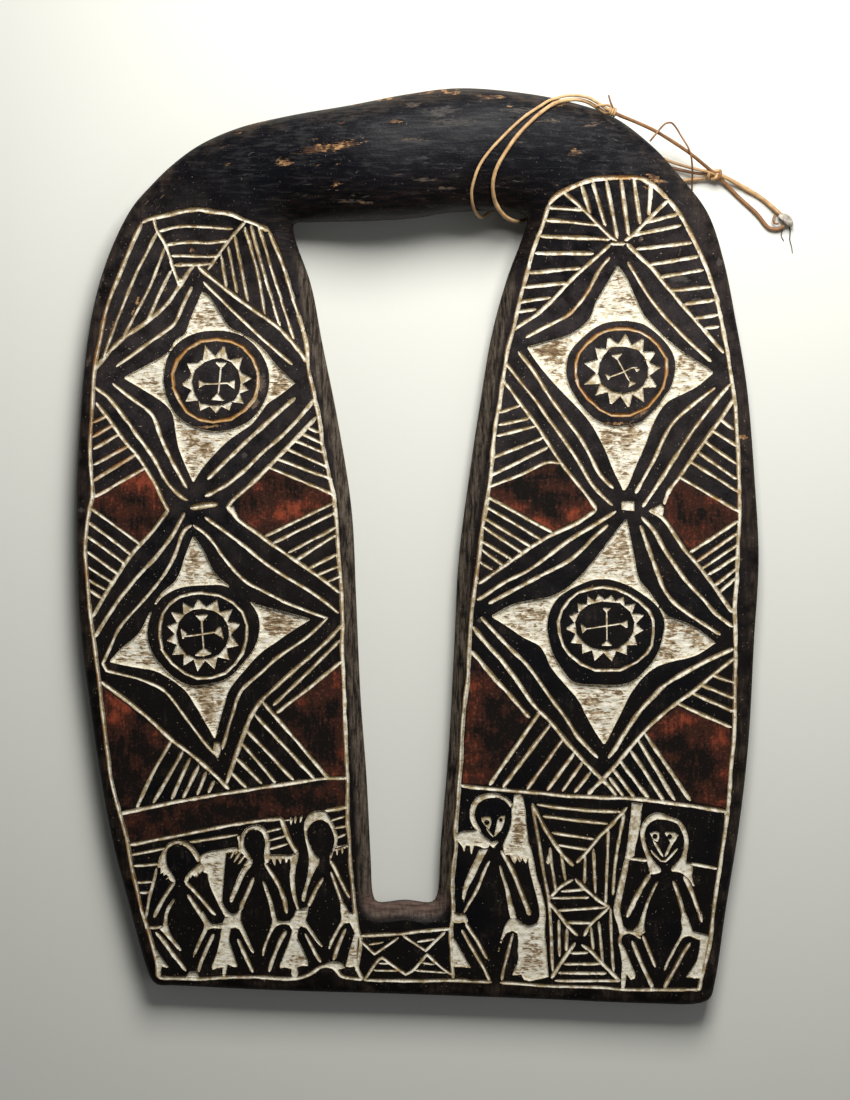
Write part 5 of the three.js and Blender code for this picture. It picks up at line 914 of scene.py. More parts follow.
# ---- one closed mesh ------------------------------------------------------
nf = len(face_xy)
verts = [np.column_stack([face_xy, face_z]), np.column_stack([back_xy, back_z])]
tris = [face_tris, back_tris + nf]
total = nf + len(back_xy)
WALL_ROWS = 3
wall_values = []
for ids_f, start_b, n, out_side in ((rim_out, 0, len(out_ring), True), (rim_in, nb, len(in_ring), False)):
    top_ids = np.array([face_index[i] for i in ids_f])
    low_ids = np.array([back_index[start_b + k] for k in range(n)]) + nf
    top_p = verts[0][top_ids]
    low_p = verts[1][low_ids - nf]
    rows = [top_ids]
    for r in range(1, WALL_ROWS):
        t = r / WALL_ROWS
        mid = top_p * (1 - t) + low_p * t
        verts.append(mid)
        rows.append(np.arange(total, total + n))
        total += n
        wall_values.append((n, out_side))
    rows.append(low_ids)
    for a, b in zip(rows[:-1], rows[1:]):
        a2, b2 = np.roll(a, -1), np.roll(b, -1)
        quad = np.vstack([np.column_stack([a, b, b2]), np.column_stack([a, b2, a2])])
        tris.append(quad)
V = np.vstack(verts)
T = np.vstack(tris)
# face every wall outwards
for k in range(2, len(tris)):
    t = tris[k]
    n = np.cross(V[t[:, 1]] - V[t[:, 0]], V[t[:, 2]] - V[t[:, 0]])
    c = V[t].mean(1)[:, :2] + 0.4 * n[:, :2] / (np.linalg.norm(n[:, :2], axis=1)[:, None] + 1e-9)
    within = inside(c, out_ring) & ~inside(c, in_ring)
    if within.mean() > 0.5:
        tris[k] = t[:, ::-1]
T = np.vstack(tris)


def mesh_object(name, V, T, smooth_angle=None):
    mesh = bpy.data.meshes.new(name)
    mesh.vertices.add(len(V))
    mesh.vertices.foreach_set("co", (np.asarray(V, np.float32) * MM).ravel())
    mesh.loops.add(3 * len(T))
    mesh.loops.foreach_set("vertex_index", T.astype(np.int32).ravel())
    mesh.polygons.add(len(T))
    mesh.polygons.foreach_set("loop_start", np.arange(0, 3 * len(T), 3, dtype=np.int32))
    mesh.polygons.foreach_set("loop_total", np.full(len(T), 3, np.int32))
    mesh.update(calc_edges=True)
    mesh.validate()
    mesh.polygons.foreach_set("use_smooth", np.ones(len(mesh.polygons), bool))
    if smooth_angle:
        mesh.set_sharp_from_angle(angle=math.radians(smooth_angle))
    return put(bpy.data.objects.new(name, mesh))


board = mesh_object("carved_board", V, T, 30)
print("board", len(V), "points", len(T), "triangles")


def per_point(name, face_values, back_value=0.0, wall_value=0.0):
    out = np.full(len(V), wall_value, np.float32)
    out[:nf] = face_values
    out[nf : nf + len(back_xy)] = back_value
    a = board.data.attributes.new(name, "FLOAT", "POINT")
    a.data.foreach_set("value", out)


per_point("cut", cut)
per_point("tint", tint)
per_point("carved_area", area)
per_point("red", red)
per_point("paint_left", paint_left)
per_point("bare_wood", bare_wood)
per_point("upper", upper)
per_point("inset", inset)
per_point("outer", w * d_in / np.maximum(d_in + d_out, 1e-6))
per_point("worn", worn)
per_point("worn_bare", worn_bare)
per_point("rim", smooth(1 - d_out / 16), 0.35, 1.0)
per_point("bevel", smooth(1.15 - d_in / 13) * (1 - 0.85 * w), 0.35, 0.8)
per_point("bar", w)
under = np.clip(1 - d_in / 30, 0, 1) * w
per_point("under", under)
per_point("foot", smooth((-224 - y) / 7) * smooth(1 - d_in / 12) * (np.abs(x) < 40))
per_point("hidden", 0 * cut, 1.0, 0.5)


# ---- materials ------------------------------------------------------------
def srgb(r, g, b):
    def one(c):
        c /= 255
        return c / 12.92 if c <= 0.04045 else ((c + 0.055) / 1.055) ** 2.4

    return (one(r), one(g), one(b), 1.0)


class Shade:
    """A small helper that wires one material."""

    def __init__(self, name):
        self.mat = bpy.data.materials.new(name)
        self.mat.use_nodes = True
        self.tree = self.mat.node_tree
        self.tree.nodes.clear()
        self.out = self.tree.nodes.new("ShaderNodeOutputMaterial")
        self.bsdf = self.tree.nodes.new("ShaderNodeBsdfPrincipled")
        self.tree.links.new(self.bsdf.outputs[0], self.out.inputs[0])
        self.coord = self.tree.nodes.new("ShaderNodeTexCoord").outputs["Object"]

    def link(self, value, socket):
        if isinstance(value, bpy.types.NodeSocket):
            self.tree.links.new(value, socket)
        else:
            socket.default_value = value

    def up_the_face(self):
        n = self.tree.nodes.new("ShaderNodeSeparateXYZ")
        self.tree.links.new(self.coord, n.inputs[0])
        return n.outputs["Y"]

    def attr(self, name):
        n = self.tree.nodes.new("ShaderNodeAttribute")
        n.attribute_name = name
        return n.outputs["Fac"]

    def place(self, stretch=(1, 1, 1), turn=(0, 0, 0), shift=(0, 0, 0)):
        n = self.tree.nodes.new("ShaderNodeMapping")
        n.inputs["Scale"].default_value = stretch
        n.inputs["Rotation"].default_value = turn
        n.inputs["Location"].default_value = shift
        self.tree.links.new(self.coord, n.inputs["Vector"])
        return n.outputs[0]

    def noise(self, scale, detail=4.0, rough=0.55, stretch=None, shift=(0, 0, 0), twist=0.0, turn=(0, 0, 0)):
        n = self.tree.nodes.new("ShaderNodeTexNoise")
        n.inputs["Scale"].default_value = scale
        n.inputs["Detail"].default_value = detail
        n.inputs["Roughness"].default_value = rough
        n.inputs["Distortion"].default_value = twist
        self.link(self.place(stretch or (1, 1, 1), turn, shift), n.inputs["Vector"])
        return n.outputs["Fac"]

    def math(self, kind, a, b=None):
        n = self.tree.nodes.new("ShaderNodeMath")
        n.operation = kind
        self.link(a, n.inputs[0])
        if b is not None:
            self.link(b, n.inputs[1])
        return n.outputs[0]

    def add(self, a, b):
        return self.math("ADD", a, b)

    def sub(self, a, b):
        return self.math("SUBTRACT", a, b)

    def mul(self, a, b):
        return self.math("MULTIPLY", a, b)

    def most(self, a, b):
        return self.math("MAXIMUM", a, b)

    def step(self, value, low, high):
        n = self.tree.nodes.new("ShaderNodeMapRange")
        n.interpolation_type = "SMOOTHSTEP"
        self.link(value, n.inputs["Value"])
        n.inputs["From Min"].default_value = low
        n.inputs["From Max"].default_value = high
        return n.outputs["Result"]

    def mix(self, fac, a, b):
        n = self.tree.nodes.new("ShaderNodeMix")
        n.data_type = "RGBA"
        self.link(fac, n.inputs["Factor"])
        self.link(a, n.inputs["A"] if False else n.inputs[6])
        self.link(b, n.inputs["B"] if False else n.inputs[7])
        return n.outputs[2]

    def blend(self, fac, a, b):
        """Mix of two numbers."""
        n = self.tree.nodes.new("ShaderNodeMix")
        n.data_type = "FLOAT"
        self.link(fac, n.inputs[0])
        self.link(a, n.inputs[2])
        self.link(b, n.inputs[3])
        return n.outputs[0]

    def bump(self, height, distance, strength=1.0, normal=None):
        n = self.tree.nodes.new("ShaderNodeBump")
        n.inputs["Distance"].default_value = distance
        n.inputs["Strength"].default_value = strength
        self.link(height, n.inputs["Height"])
        if normal is not None:
            self.link(normal, n.inputs["Normal"])
        return n.outputs[0]

    def set(self, **kw):
        for k, v in kw.items():
            self.link(v, self.bsdf.inputs[k.replace("_", " ")])


def board_material():
    m = Shade("blackened_wood")
    cut, tint, area, red, paint = m.attr("cut"), m.attr("tint"), m.attr("carved_area"), m.attr("red"), m.attr("paint_left")
    rim, bevel, bar, under, foot = m.attr("rim"), m.attr("bevel"), m.attr("bar"), m.attr("under"), m.attr("foot")
    hidden, upper, inset, bare_wood = m.attr("hidden"), m.attr("upper"), m.attr("inset"), m.attr("bare_wood")
    worn, worn_bare, outer = m.attr("worn"), m.attr("worn_bare"), m.attr("outer")
    big, mid, fine = m.noise(16, 3), m.noise(85, 4), m.noise(520, 3, 0.65)
    medium = m.noise(230, 3, 0.6)
    across = m.noise(60, 4, 0.68, (1, 8, 4), (0, 0, 0), 0.3)
    upright = m.noise(60, 4, 0.68, (8, 1, 4))
    wood_run = m.blend(bar, upright, across)
    # the blackened face: warm black, bluer where it is polished, greyer where it is rubbed; on the bar that grey is
    # also a painted sheen, strongest toward its outer edge, and the panels get painted light toward the top of the face
    polished = m.most(bar, m.step(big, 0.5, 0.66))
    black = m.mix(polished, srgb(12, 8, 6), m.mix(bar, srgb(6, 6, 9), srgb(10, 11, 16)))
    # painted light: grey patches on the panels, fading in toward the top of the face, stand in for the light falling
    # there
    painted_top_light = m.mul(m.step(m.up_the_face(), -0.1, 0.16), m.sub(1.0, bar))
    black = m.mix(m.mul(painted_top_light, m.step(m.add(mid, m.mul(fine, 0.4)), 0.45, 0.9)), black, srgb(47, 41, 42))
    # real rubbing mixed with painted sheen: on the bar the grey grows toward its outer edge, where the light catches it
    rubbed_and_sheen = m.step(m.add(m.add(m.blend(bar, mid, m.blend(0.7, mid, across)), m.mul(outer, 0.16)), m.mul(m.sub(wood_run, 0.5), 0.8)), 0.55, 0.85)
    black = m.mix(m.mul(rubbed_and_sheen, m.blend(bar, 0.8, 0.6)), black, m.mix(bar, srgb(44, 36, 30), srgb(50, 49, 50)))
    brown = m.mix(m.step(wood_run, 0.35, 0.65), srgb(34, 26, 20), srgb(66, 55, 46))
    face = m.mix(m.mul(rim, m.step(m.add(mid, m.mul(big, 0.5)), 0.6, 0.95)), black, brown)
    face = m.mix(m.mul(under, 0.9), face, m.mix(m.step(across, 0.4, 0.62), srgb(10, 8, 8), srgb(36, 25, 19)))
    # thin scuffs and pale specks left on the polish
    scuff = m.mul(m.step(fine, 0.6, 0.76), m.step(mid, 0.46, 0.66))
    face = m.mix(m.mul(scuff, 0.5), face, srgb(92, 86, 80))
    speck = m.step(m.noise(800, 1, 0.5, None, (3, 1, 0)), 0.735, 0.77)
    face = m.mix(m.mul(speck, m.blend(bar, 0.6, 0.22)), face, srgb(176, 160, 138))
    # worn and chipped places
    dashes = m.blend(bar, fine, m.noise(230, 3, 0.6, (1, 6.5, 1), (2, 2, 0)))
    gone = m.step(m.add(worn, m.add(m.mul(m.sub(wood_run, 0.5), 0.9), m.mul(m.sub(dashes, 0.5), m.blend(bar, 1.9, 3.4)))), 0.66, 0.86)
    chip_tone = m.mix(m.step(medium, 0.42, 0.66), srgb(74, 52, 38), srgb(178, 138, 94))
    chip_tone = m.mix(m.step(worn_bare, 0.15, 0.65), m.mix(medium, srgb(40, 38, 37), srgb(92, 88, 84)), chip_tone)
    face = m.mix(m.mul(gone, m.blend(worn_bare, 0.75, 0.95)), face, chip_tone)
    # red paint, thin in the middle of each field, where black shows again
    streak = m.add(m.mul(m.sub(fine, 0.5), 0.5), m.add(m.mul(m.sub(upright, 0.5), 0.8), m.mul(m.sub(mid, 0.5), 1.5)))
    left = m.add(paint, streak)
    painted = m.mix(m.step(left, 0.05, 0.38), srgb(17, 12, 9), srgb(56, 30, 21))
    painted = m.mix(m.step(left, 0.4, 0.92), painted, srgb(136, 62, 40))
    painted = m.mix(m.mul(m.step(fine, 0.55, 0.7), 0.4), painted, m.mix(m.step(left, 0.1, 0.6), srgb(54, 46, 41), srgb(128, 82, 60)))
    face = m.mix(m.step(red, 0.02, 0.5), face, painted)
    # rough greyed margin round the opening
    edge_wood = m.mix(m.step(upright, 0.34, 0.66), srgb(34, 27, 22), srgb(98, 88, 76))
    edge_wood = m.mix(m.mul(m.step(fine, 0.45, 0.7), 0.5), edge_wood, srgb(44, 34, 27))
    face = m.mix(m.mul(m.step(bevel, 0.35, 0.75), m.step(m.add(upright, m.mul(mid, 0.6)), 0.5, 0.85)), face, edge_wood)
    face = m.mix(m.mul(foot, 0.9), face, m.mix(m.step(across, 0.35, 0.65), srgb(62, 46, 42), srgb(112, 92, 82)))
    # cuts: a brown lip, lime on the wall that faces the light, and khaki (ochre where the cut is tinted) painted on the
    # wall that faces away from it as painted shade
    ragged = m.add(m.mul(m.sub(fine, 0.5), 0.45), m.mul(m.sub(medium, 0.5), 0.5))
    f = m.add(cut, m.mul(ragged, m.step(cut, 0.0, 0.12)))
    tone = m.noise(42, 2, 0.5, None, (1, 4, 0))
    painted_shade_wall = m.mix(m.step(tone, 0.42, 0.6), srgb(158, 138, 98), srgb(104, 82, 52))
    painted_shade_wall = m.mix(m.step(m.add(tint, m.mul(m.sub(tone, 0.5), 0.9)), 0.3, 0.85), painted_shade_wall, srgb(142, 92, 30))
    lime = m.mix(m.step(m.noise(190, 3, 0.68), 0.36, 0.6), srgb(172, 155, 120), srgb(240, 234, 216))
    lime = m.mix(m.mul(m.step(m.add(tint, m.mul(m.sub(tone, 0.5), 2.6)), 0.55, 1.1), 0.75), lime, srgb(172, 126, 52))
    # painted shade: the upper wall, facing away from the light, takes the khaki colour
    lean = m.add(m.most(m.add(upper, 0.12), m.mul(upper, -0.62)), m.add(m.mul(m.sub(m.noise(24, 2, 0.5, None, (6, 2, 0)), 0.5), 1.1), m.mul(ragged, 0.6)))
    filled = m.mix(m.step(lean, 0.22, 0.72), lime, painted_shade_wall)
    lip = m.step(f, 0.08, 0.22)
    # painted shade: the brown lip reaches further down the wall that faces away from the light
    filled = m.mix(m.step(m.add(f, m.mul(m.step(upper, 0.2, -0.3), 0.16)), 0.22, 0.4), m.mix(m.step(tint, 0.3, 0.8), srgb(104, 78, 50), srgb(112, 70, 30)), filled)
    # star fields: lime strokes along the chisel marks, dark lines between, tan wood where it has gone
    stroke = m.blend(m.step(big, 0.44, 0.56), m.noise(135, 3, 0.62, (1, 6.6, 1), (0, 0, 0), 0.7), m.noise(135, 3, 0.62, (1, 6.0, 1), (3, 1, 0), 0.8, (0, 0, 0.5)))
    chalk = m.noise(240, 3, 0.6, (1, 1.8, 1), (4, 4, 0), 0.6)
    band = m.step(inset, 0.5, 0.1)
    zone = m.mul(m.sub(m.noise(70, 2, 0.5, None, (6, 6, 0), 0.6), 0.5), 0.55)
    laid = m.sub(m.add(m.add(m.add(stroke, zone), m.mul(m.sub(chalk, 0.5), 0.4)), m.mul(band, 0.12)), m.mul(bare_wood, 0.14))
    tan = m.mix(m.step(chalk, 0.38, 0.6), srgb(128, 106, 80), srgb(186, 165, 132))
    white = m.mix(m.step(chalk, 0.33, 0.6), srgb(204, 192, 162), srgb(242, 237, 220))
    carved = m.mix(m.step(laid, 0.42, 0.5), tan, white)
    carved = m.mix(m.mul(m.step(laid, 0.36, 0.28), 0.7), carved, m.mix(bare_wood, srgb(66, 54, 43), srgb(100, 76, 50)))
    # painted shade: the field's wall that faces away from the light is painted brown
    filled = m.mix(m.step(area, 0.2, 0.5), filled, m.mix(m.step(upper, 0.35, 0.75), carved, m.mix(tone, srgb(150, 116, 74), srgb(96, 66, 38))))
    color = m.mix(lip, face, filled)
    color = m.mix(m.mul(hidden, m.step(upright, 0.42, 0.62)), color, srgb(52, 42, 34))
    rough = m.blend(lip, m.blend(polished, m.add(0.5, m.mul(mid, 0.25)), m.add(0.34, m.mul(mid, 0.3))), 0.9)
    rough = m.most(rough, m.mul(m.most(m.most(bevel, hidden), m.most(red, gone)), 0.78))
    height = m.add(m.mul(mid, 0.3), m.add(m.mul(fine, 0.35), m.mul(wood_run, m.add(0.35, m.mul(m.most(bevel, hidden), 1.2)))))
    height = m.add(height, m.mul(m.add(stroke, m.mul(fine, 0.5)), m.most(area, m.mul(lip, 0.5))))
    m.set(Base_Color=color, Roughness=rough, Normal=m.bump(height, 0.0006, 0.9))
    m.bsdf.inputs["Specular IOR Level"].default_value = 0.12
    return m.mat


board.data.materials.append(board_material())
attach(board, "root")
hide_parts("shield_board")


def cane_material(name, light, dark):
    m = Shade(name)
    fibre = m.noise(240, 5, 0.6, (1, 1, 1))
    patch = m.noise(38, 4)
    color = m.mix(m.step(m.add(m.mul(fibre, 0.5), m.mul(patch, 0.6)), 0.42, 0.72), light, dark)
    color = m.mix(m.step(m.noise(700, 2), 0.68, 0.78), color, srgb(74, 50, 30))
    m.set(Base_Color=color, Roughness=m.add(0.38, m.mul(fibre, 0.2)), Normal=m.bump(m.noise(420, 4), 0.0003, 0.6))
    return m.mat


cane_light = cane_material("cane_light", srgb(206, 170, 122), srgb(160, 120, 76))
cane_brown = cane_material("cane_brown", srgb(150, 106, 66), srgb(104, 70, 42))
cane_dark = cane_material("cane_thread", srgb(70, 54, 40), srgb(48, 38, 30))
m = Shade("gum")
g1 = m.noise(260, 4)
m.set(Base_Color=m.mix(m.step(g1, 0.35, 0.65), srgb(120, 110, 98), srgb(196, 188, 176)), Roughness=0.6, Normal=m.bump(m.noise(600, 4), 0.0006, 0.8))
gum_mat = m.mat

# ---- the cane tie ---------------------------------------------------------
STRANDS = {
    "cane_loop_outer": (2.1, [
        [122.8, 287.1, 36.5], [117, 291.1, 37.4], [110.9, 294.2, 38.2], [104, 295.3, 38.8], [97, 295.1, 39.3], [90.3, 293.4, 39.3],
        [85, 290.9, 43], [80.4, 287.4, 47], [75.3, 283.7, 49.9], [70, 279.7, 52.4], [64.9, 275.3, 54.1], [60, 270.5, 55.7],
        [55.1, 265.5, 56.4], [50.3, 260.5, 57], [45.7, 255.2, 57.1], [41.6, 249.6, 56.8], [38.4, 243.5, 55.6], [36.3, 237.2, 53.5],
        [35, 231.3, 49.9], [35.3, 226.1, 45.3], [36.5, 222.3, 39.6], [38, 220.2, 33.1], [40, 218.6, 26.5], [42.3, 218.7, 19.9],
        [44.3, 220.3, 13.4], [46.9, 223, 7.6], [51.4, 226.4, 3.4], [57.4, 229.6, 1.8], [63.8, 232.3, 1.6], [70.3, 234.9, 1.5],
        [76.9, 237.4, 1.5], [83.4, 239.9, 1.4], [90, 242.3, 1.4], [96.6, 244.7, 1.4], [103.2, 247, 1.4], [109.8, 249.4, 1.4],
        [116.4, 251.6, 1.4], [123.1, 253.9, 1.4], [129.7, 256.1, 1.4], [136.4, 258.2, 1.4], [143.2, 260.1, 1.6], [150, 261.6, 2.1],
        [156.9, 261.7, 2.9], [163.5, 259.7, 4.2], [169.8, 257, 5.5], [176.3, 254.7, 6.8], [182.9, 252.6, 8.1], [189.6, 250.9, 8.9],
    ]),
    "cane_loop_inner": (2.6, [
        [122.8, 284.8, 33.6], [116.9, 288.5, 34.3], [110.9, 291.7, 35.3], [104.4, 292.9, 37.2], [97.6, 292.4, 38.4], [91.8, 290.6, 41.6],
        [86.9, 287.8, 45.6], [81.9, 284, 48.5], [77.1, 279.8, 51.2], [72.3, 275.1, 53], [67.6, 270.2, 54.5], [63.2, 264.9, 55.3],
        [59.2, 259.3, 55.7], [55.4, 253.5, 55.5], [52, 247.5, 54.8], [49.6, 241.3, 53.1], [48.7, 235, 50.4], [49.3, 229.5, 46.2],
        [50.8, 225, 41.2], [53.7, 220.6, 36.8], [57.5, 217.3, 32.2], [61.2, 216, 26.4], [64.7, 215.9, 20.5], [68, 216.8, 14.4],
        [71.4, 218.9, 8.8], [75.8, 222, 4.5], [81.5, 225.3, 2.3], [87.7, 228.1, 1.6], [94.2, 230.6, 1.5], [100.8, 232.8, 1.6],
        [107.4, 234.8, 1.6], [114.1, 236.5, 1.6], [120.9, 237.9, 1.6], [127.7, 239.2, 1.6], [134.6, 240.3, 1.6], [141.4, 241.3, 1.7],
        [148.3, 242.1, 1.8], [155.2, 242.8, 1.9], [162.1, 243.4, 2.1], [169, 244.2, 2.4], [175.9, 245.1, 2.8], [182.7, 245.9, 3.3],
        [189.6, 246.7, 3.6],
    ]),
    "cane_spare_end": (2.2, [
        [126.7, 244.3, 1.3], [133.6, 246.5, 1.3], [140.5, 248.7, 1.3], [147.4, 250.8, 1.3], [154.4, 252.7, 1.5], [161.5, 253.9, 1.8],
        [168.7, 253.8, 2.6], [175.6, 252.2, 3.7], [182.5, 250.4, 5.2], [189.5, 249.2, 6.3],
    ]),
    "cane_link": (2.4, [
        [132, 283.2, 34], [138.6, 281, 32], [145.2, 278.7, 29.9], [151.6, 276.3, 27.5], [157.8, 273.7, 24.9], [163.8, 270.7, 22.2],
        [169.8, 267.5, 19.6], [175.7, 264.2, 17], [181.5, 260.6, 14.6], [187, 256.7, 12.1], [192.6, 252.6, 9.8],
    ]),
    "cane_tail_upper": (3, [
        [203.8, 247.5, 5.6], [209.4, 244.9, 4.1], [215, 242, 2.6], [220.5, 239, 1.9], [226, 235.8, 1.6], [231.3, 232.1, 1.7],
        [236.1, 227.9, 2.2], [240.7, 223.6, 3.2],
    ]),
    "cane_tail_lower": (2.7, [
        [202.8, 245.3, 3.6], [206.3, 242, 2.3], [209.9, 238.5, 1.7], [213.4, 235, 1.5], [217.1, 231.6, 1.5], [220.8, 228.3, 1.5],
        [224.5, 224.9, 1.5], [227.9, 221.2, 1.5], [230.9, 217.2, 1.5], [234.5, 213.8, 1.5], [239.3, 213, 1.8], [243.9, 214.7, 2.6],
    ]),
    "cane_splinter": (1.3, [
        [152.4, 267.4, 27.5], [155.3, 270.8, 29.4], [158.3, 274.5, 29.2], [161, 277.7, 26.5], [163.9, 280.1, 23.4], [167.6, 280.6, 20.3],
        [170.8, 277.5, 18.6], [173.4, 273.3, 18.2], [176, 269.2, 18.2], [178.5, 264.9, 18.3], [180.3, 260.5, 17.3], [181.3, 256.2, 15.2],
        [181.9, 252, 12.7], [182.2, 248, 9.8], [182.4, 244.1, 6.9], [182.6, 240.3, 3.8], [182.7, 236.4, 0.8],
    ]),
}


def centripetal(points, per_span=6):
    return catmull(np.asarray(points, float), per_span)


def strand(name, material, wobble=0.07, swell_at=()):
    thick, route = STRANDS[name]
    line = centripetal(route)
    curve = bpy.data.curves.new(name.replace("cane_", "tie_"), "CURVE")
    curve.dimensions = "3D"
    curve.bevel_depth = thick / 2 * MM
    curve.bevel_resolution = 4
    curve.use_fill_caps = True
    spline = curve.splines.new("POLY")
    spline.points.add(len(line) - 1)
    s = np.concatenate([[0], np.cumsum(np.linalg.norm(np.diff(line, axis=0), axis=1))])
    shift = rng.random() * 30
    r = 1 + (noise(s, s * 0 + shift, 11, 1) - 0.5) * 2 * wobble
    for at in swell_at:
        r += 0.16 * np.exp(-(((s - at) / 1.6) ** 2))
    # a strand that lies on the floor never swells into it
    r = np.minimum(r, np.maximum(1.0, (line[:, 2] - 0.05) / (thick / 2)))
    for k, p in enumerate(line):
        spline.points[k].co = (*(p * MM), 1)
        spline.points[k].radius = float(r[k])
    obj = put(bpy.data.objects.new(name.replace("cane_", "tie_"), curve))
    curve.materials.append(material)
    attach(obj, "root")
    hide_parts(name)
    return obj, float(s[-1]) * MM, line


def tube(name, line, radius, material, sides=8, closed=False, taper=None):
    """A mesh tube along a line, in millimetres."""
    line = np.asarray(line, float)
    n = len(line)
    tan = np.roll(line, -1, axis=0) - np.roll(line, 1, axis=0)
    if not closed:
        tan[0], tan[-1] = line[1] - line[0], line[-1] - line[-2]
    tan /= np.linalg.norm(tan, axis=1)[:, None] + 1e-9
    side = np.cross(tan[0], [0, 0, 1.0])
    if np.linalg.norm(side) < 0.1:
        side = np.cross(tan[0], [0, 1.0, 0])
    rows = []
    radii = np.full(n, radius) if taper is None else radius * np.asarray(taper)
    for k in range(n):
        side = side - tan[k] * (side @ tan[k])
        side /= np.linalg.norm(side)
        up = np.cross(tan[k], side)
        a = 2 * np.pi * np.arange(sides) / sides
        rows.append(line[k] + radii[k] * (np.cos(a)[:, None] * side + np.sin(a)[:, None] * up))
    V = np.vstack(rows)
    T = []
    last = n if closed else n - 1
    for k in range(last):
        for j in range(sides):
            a, b = k * sides + j, k * sides + (j + 1) % sides
            c, d = ((k + 1) % n) * sides + j, ((k + 1) % n) * sides + (j + 1) % sides
            T += [(a, c, d), (a, d, b)]
    if not closed:
        V = np.vstack([V, line[0], line[-1]])
        for j in range(sides):
            T.append((len(V) - 2, j, (j + 1) % sides))
            T.append((len(V) - 1, (n - 1) * sides + (j + 1) % sides, (n - 1) * sides + j))
    obj = mesh_object(name, V, np.array(T), 50)
    obj.data.materials.append(material)
    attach(obj, "root")
    return obj


def join(name, objs, replaces):
    V, T, base = [], [], 0
    mats = []
    for o in objs:
        co = np.zeros(len(o.data.vertices) * 3, np.float32)
        o.data.vertices.foreach_get("co", co)
        V.append(co.reshape(-1, 3) / MM)
        t = np.array([p.vertices[:] for p in o.data.polygons]) + base
        base += len(o.data.vertices)
        T.append(t)
        mats.append(o.data.materials[0])
    made = mesh_object(name, np.vstack(V), np.vstack(T), 50)
    names = []
    for q in mats:
        if q not in names:
            names.append(q)
            made.data.materials.append(q)
    k = 0
    for t, q in zip(T, mats):
        for i in range(len(t)):
            made.data.polygons[k + i].material_index = names.index(q)
        k += len(t)
    for o in objs:
        data = o.data
        bpy.data.objects.remove(o)
        bpy.data.meshes.remove(data)
    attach(made, "root")
    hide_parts(*replaces)
    return made


def turned(pts, middle, degrees):
    a = math.radians(degrees)
    R = np.array([[math.cos(a), -math.sin(a), 0], [math.sin(a), math.cos(a), 0], [0, 0, 1]])
    return np.asarray(pts) @ R.T + np.asarray(middle)


# the large knot: a cane end passed twice round the others and through itself
u = np.linspace(0, 2 * np.pi, 72, endpoint=False)
knot_line = np.column_stack([
    (np.sin(u) + 1.7 * np.sin(2 * u)) * 1.75,
    (np.cos(u) - 1.7 * np.cos(2 * u)) * 1.25,
    -np.sin(3 * u) * 1.75,
])
big_parts = [tube("k1", turned(knot_line, (196.9, 249.3, 5.4), -8), 1.25, cane_light, closed=True)]
wrap = np.column_stack([np.sin(u) * 0.9 + 3.1, np.cos(u) * 3.1, np.sin(u + 1.57) * 0 + np.sin(u) * 3.0])
big_parts.append(tube("k2", turned(wrap, (196.9, 249.3, 5.5), -14), 1.15, cane_brown, closed=True))
wrap2 = np.column_stack([np.cos(u) * 0.6 - 3.4, np.cos(u) * 2.9, np.sin(u) * 3.0])
big_parts.append(tube("k3", turned(wrap2, (196.9, 249.3, 5.5), -2), 1.1, cane_light, closed=True))
# the ends that run from the knot to each strand
for k, (pts, r, mat) in enumerate((
    ([[188.8, 251.1, 8.8], [193.5, 250.1, 8.6], [198, 248.6, 6.8]], 1.08, cane_light),
    ([[188.8, 246.6, 3.5], [193.5, 247.3, 3.9], [198, 248.6, 5]], 1.34, cane_light),
    ([[188.7, 249.3, 6.2], [193.5, 249.0, 6.3], [198, 248.9, 5.8]], 1.13, cane_brown),
    ([[191.9, 253.1, 10.1], [195.3, 250.8, 8.2], [198.2, 249, 6.4]], 1.24, cane_brown),
    ([[204.6, 247.1, 5.4], [201, 248.5, 6.2], [197.5, 249.2, 6.2]], 1.54, cane_light),
    ([[203.4, 244.7, 3.3], [200.2, 247.2, 4.6], [197.2, 248.8, 5.2]], 1.39, cane_brown),
)):
    big_parts.append(tube(f"k{4 + k}", catmull(pts, 6), r, mat))
knot_large = join("knot_large", big_parts, ["cane_knot_large"])
# the small knot: three turns of a split strand round the two loops and the link
v = np.linspace(0, 2 * np.pi * 2.8, 90)
turns = np.column_stack([-2.2 + 4.6 * v / v[-1], np.cos(v) * 2.3, np.sin(v) * 2.2])
small_parts = [tube("s1", turned(turns, (127.4, 285.5, 35.3), -25), 0.85, cane_light)]
stub = catmull([[124.6, 296.0, 37.2], [125.6, 292.0, 37.6], [127.0, 288.2, 37.4], [128.0, 285.6, 36.2]], 6)
small_parts.append(tube("s2", stub, 0.8, cane_brown, taper=np.linspace(0.7, 1.0, len(stub))))
bar_bit = catmull([[116.6, 288.9, 37.6], [120.2, 289.2, 37.9], [124.0, 289.2, 37.6], [127.4, 287.6, 36.8]], 6)
small_parts.append(tube("s3", bar_bit, 0.85, cane_light))
for k, (pts, r, mat) in enumerate((
    ([[132.8, 283.0, 33.8], [129.8, 284.2, 34.7], [127, 285.4, 35.3]], 1.24, cane_brown),
    ([[122.0, 287.6, 36.6], [125.2, 286.3, 36], [128, 285.4, 35.3]], 1.08, cane_light),
    ([[122.0, 285.3, 33.7], [125.2, 285.1, 34.3], [128, 285.3, 35]], 1.34, cane_light),
)):
    small_parts.append(tube(f"s{4 + k}", catmull(pts, 6), r, mat))
knot_small = join("knot_small", small_parts, ["cane_knot_small"])
